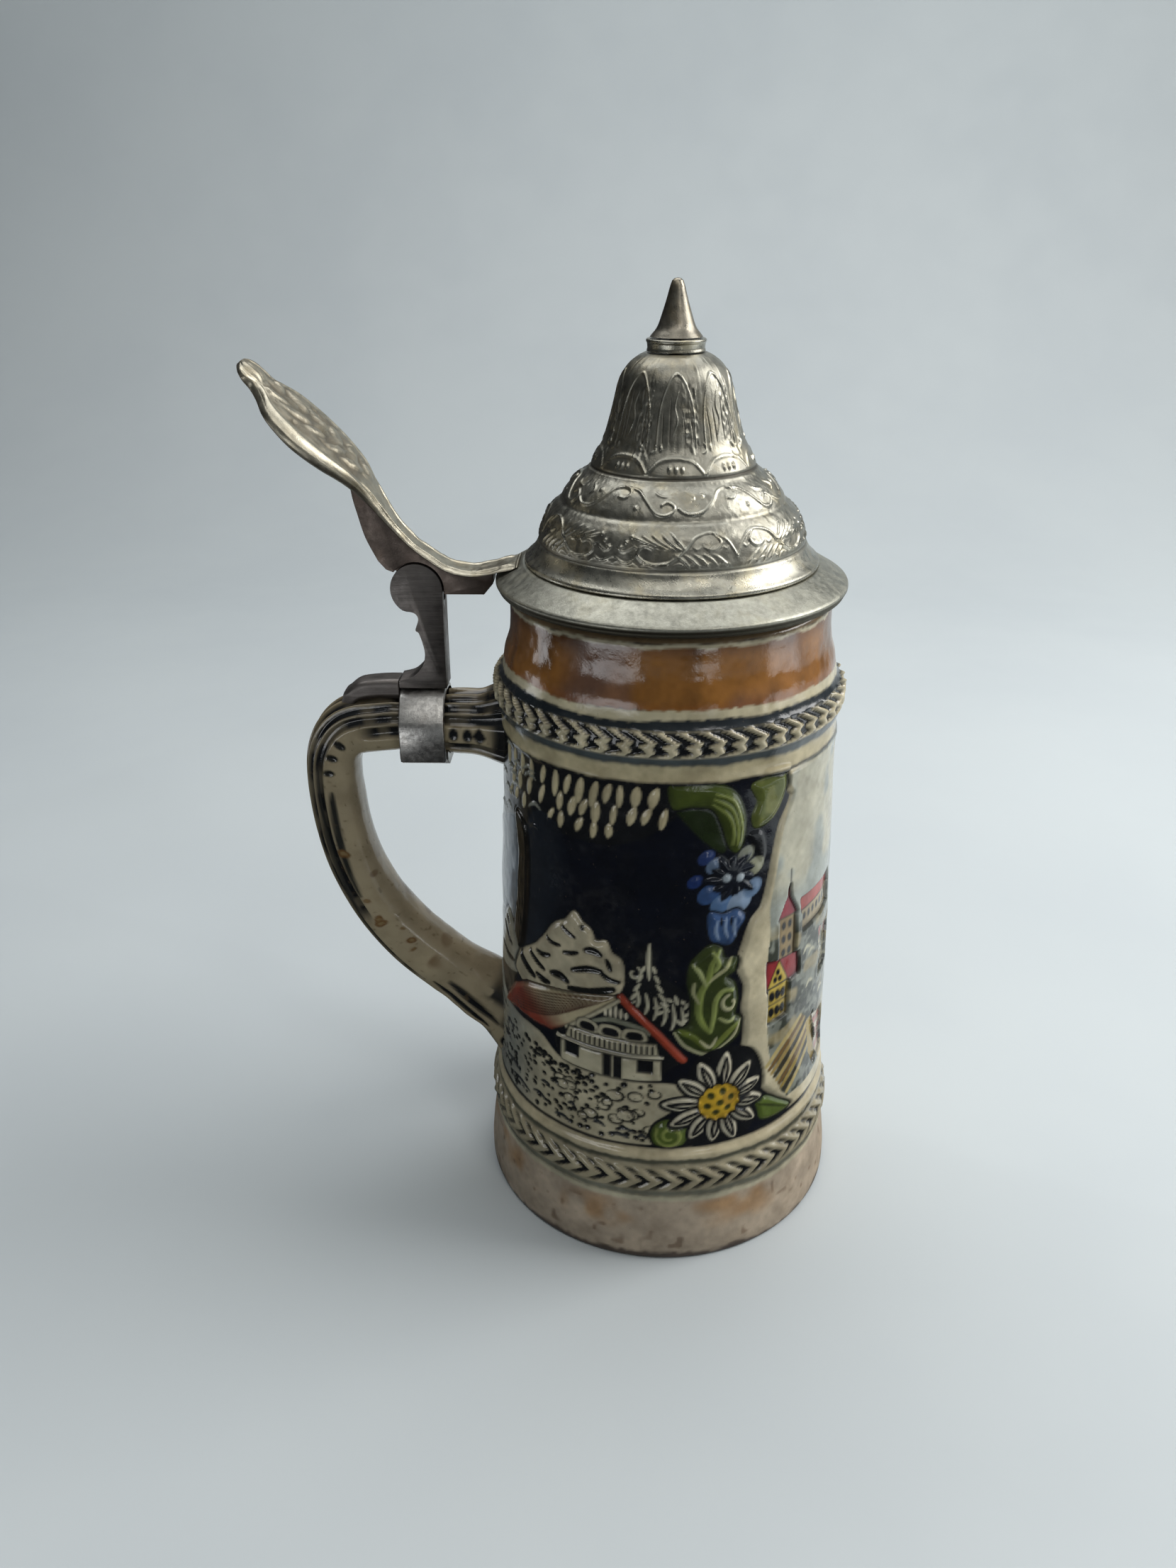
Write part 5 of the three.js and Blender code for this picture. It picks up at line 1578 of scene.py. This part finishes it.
def make_camera():
    """The photograph's viewpoint, fitted to the rings of the foot, the flange and the dome."""
    data = bpy.data.cameras.new("camera")
    data.sensor_width = SENSOR_WIDTH
    data.lens = FOCAL_LENGTH
    data.clip_start = 0.01
    obj = bpy.data.objects.new("camera", data)
    bpy.context.scene.collection.objects.link(obj)
    columns = [Vector(CAMERA_RIGHT), Vector(CAMERA_UP), -Vector(CAMERA_AHEAD)]
    matrix = Matrix([[col[i] for col in columns] for i in range(3)]).to_4x4()
    matrix.translation = Vector(CAMERA_PLACE) * MM
    obj.matrix_world = matrix
    bpy.context.scene.camera = obj


def make_stage():
    """A pale sweep: a floor that curves up into a backdrop."""
    front, back, bend, top, half_width = -900, 520, 400, 1500, 1800
    points = [(front, 0), (back, 0)]
    for degrees in range(5, 91, 5):
        turn = math.radians(degrees)
        points.append((back + bend * math.sin(turn), bend - bend * math.cos(turn)))
    points.append((back + bend, top))
    rows = np.array(points)
    sides = [np.stack([np.full(len(rows), x), rows[:, 0], rows[:, 1]], 1) for x in (-half_width, half_width)]
    vertices = np.concatenate(sides)
    k = np.arange(len(rows) - 1)
    faces = [np.stack([k, k + len(rows), k + 1 + len(rows), k + 1], 1)]
    obj = new_object("floor", vertices, faces)
    n = Nodes("pale_paper")
    color = n.mix(n.ramp(n.noise(160, 3), 0.3, 0.7), (0.60, 0.645, 0.66), (0.57, 0.615, 0.635))
    n.finish(color, n.ramp(n.noise(40, 3), 0.3, 0.7, 0.6, 0.75), n.bump(n.noise(1.5, 2), 0.02, 0.2))
    obj.data.materials.append(n.material)


def make_dark_cards():
    """Dark cards before the mug and behind its left side, seen only in reflections, as the room was."""
    before = [(-460, -560, 2), (180, -560, 2), (250, -75, 2), (-460, 220, 2)]
    left = [(-720, -330, 0), (-100, 430, 0), (-100, 430, 420), (-720, -330, 420)]
    n = Nodes("dark_card")
    color = n.mix(n.ramp(n.noise(60, 3), 0.3, 0.7), (0.015, 0.016, 0.018), (0.022, 0.023, 0.025))
    n.finish(color, n.ramp(n.noise(40, 3), 0.3, 0.7, 0.8, 0.9), n.bump(n.noise(2, 2), 0.02, 0.2))
    for name, corners in (("card_before", before), ("card_left", left)):
        card = new_object(name, np.array(corners, float), [np.array([[0, 1, 2, 3]])])
        card.data.materials.append(n.material)
        card.visible_camera = False
        card.visible_diffuse = False
        card.visible_shadow = False
        card.visible_transmission = False


def area_light(name, place, target, size, power, color=(1, 1, 1)):
    data = bpy.data.lights.new(name, "AREA")
    data.shape = "RECTANGLE"
    data.size, data.size_y = (v * MM for v in size)
    data.energy = power
    data.color = color
    obj = bpy.data.objects.new(name, data)
    bpy.context.scene.collection.objects.link(obj)
    obj.location = Vector(place) * MM
    obj.rotation_euler = (Vector(target) - Vector(place)).to_track_quat("-Z", "Y").to_euler()
    return obj


def make_lights():
    """Lamps over and beside the mug, panes seen only as reflections in the glaze, and a soft room."""
    area_light("window_right", (760, 120, 640), (0, 60, 40), (520, 620), 7.0, (1.0, 0.99, 0.97))
    area_light("overhead", (-40, 330, 900), (0, 120, 0), (900, 520), 3.6, (0.98, 0.99, 1.0))
    area_light("front_soft", (-40, -290, 760), (-20, 0, 150), (420, 260), 0.6, (1.0, 0.99, 0.96))
    area_light("front_glint", (250, -420, 620), (0, 0, 150), (120, 200), 0.4, (1.0, 0.98, 0.94))
    panes = [("pane_left", (-196, -243, 106), (200, 62), 0.12),
             ("pane_far_left", (-316, 34, 96), (70, 80), 0.05),
             ("pane_middle", (130, -300, 102), (60, 44), 0.022),
             ("pane_right", (296, -60, 97), (130, 80), 0.07)]
    for name, place, size, power in panes:
        pane = area_light(name, place, NECK_MIDDLE, size, power, (0.96, 0.98, 1.0))
        pane.visible_diffuse = False
    world = bpy.data.worlds.new("room")
    world.use_nodes = True
    tree = world.node_tree
    background = tree.nodes["Background"]
    background.inputs["Color"].default_value = (0.84, 0.9, 0.93, 1)
    direction = tree.nodes.new("ShaderNodeTexCoord")
    toward = tree.nodes.new("ShaderNodeVectorMath")
    toward.operation = "DOT_PRODUCT"
    toward.inputs[1].default_value = (0.62, 0.5, 0.6)
    fade = tree.nodes.new("ShaderNodeMapRange")
    for key, number in (("From Min", -0.2), ("From Max", 1.0), ("To Min", 0.1), ("To Max", 0.42)):
        fade.inputs[key].default_value = number
    tree.links.new(direction.outputs["Generated"], toward.inputs[0])
    tree.links.new(toward.outputs["Value"], fade.inputs["Value"])
    tree.links.new(fade.outputs["Result"], background.inputs["Strength"])
    bpy.context.scene.world = world


make_camera()
make_stage()
make_dark_cards()
make_lights()
bpy.context.scene.view_settings.view_transform = "Standard"
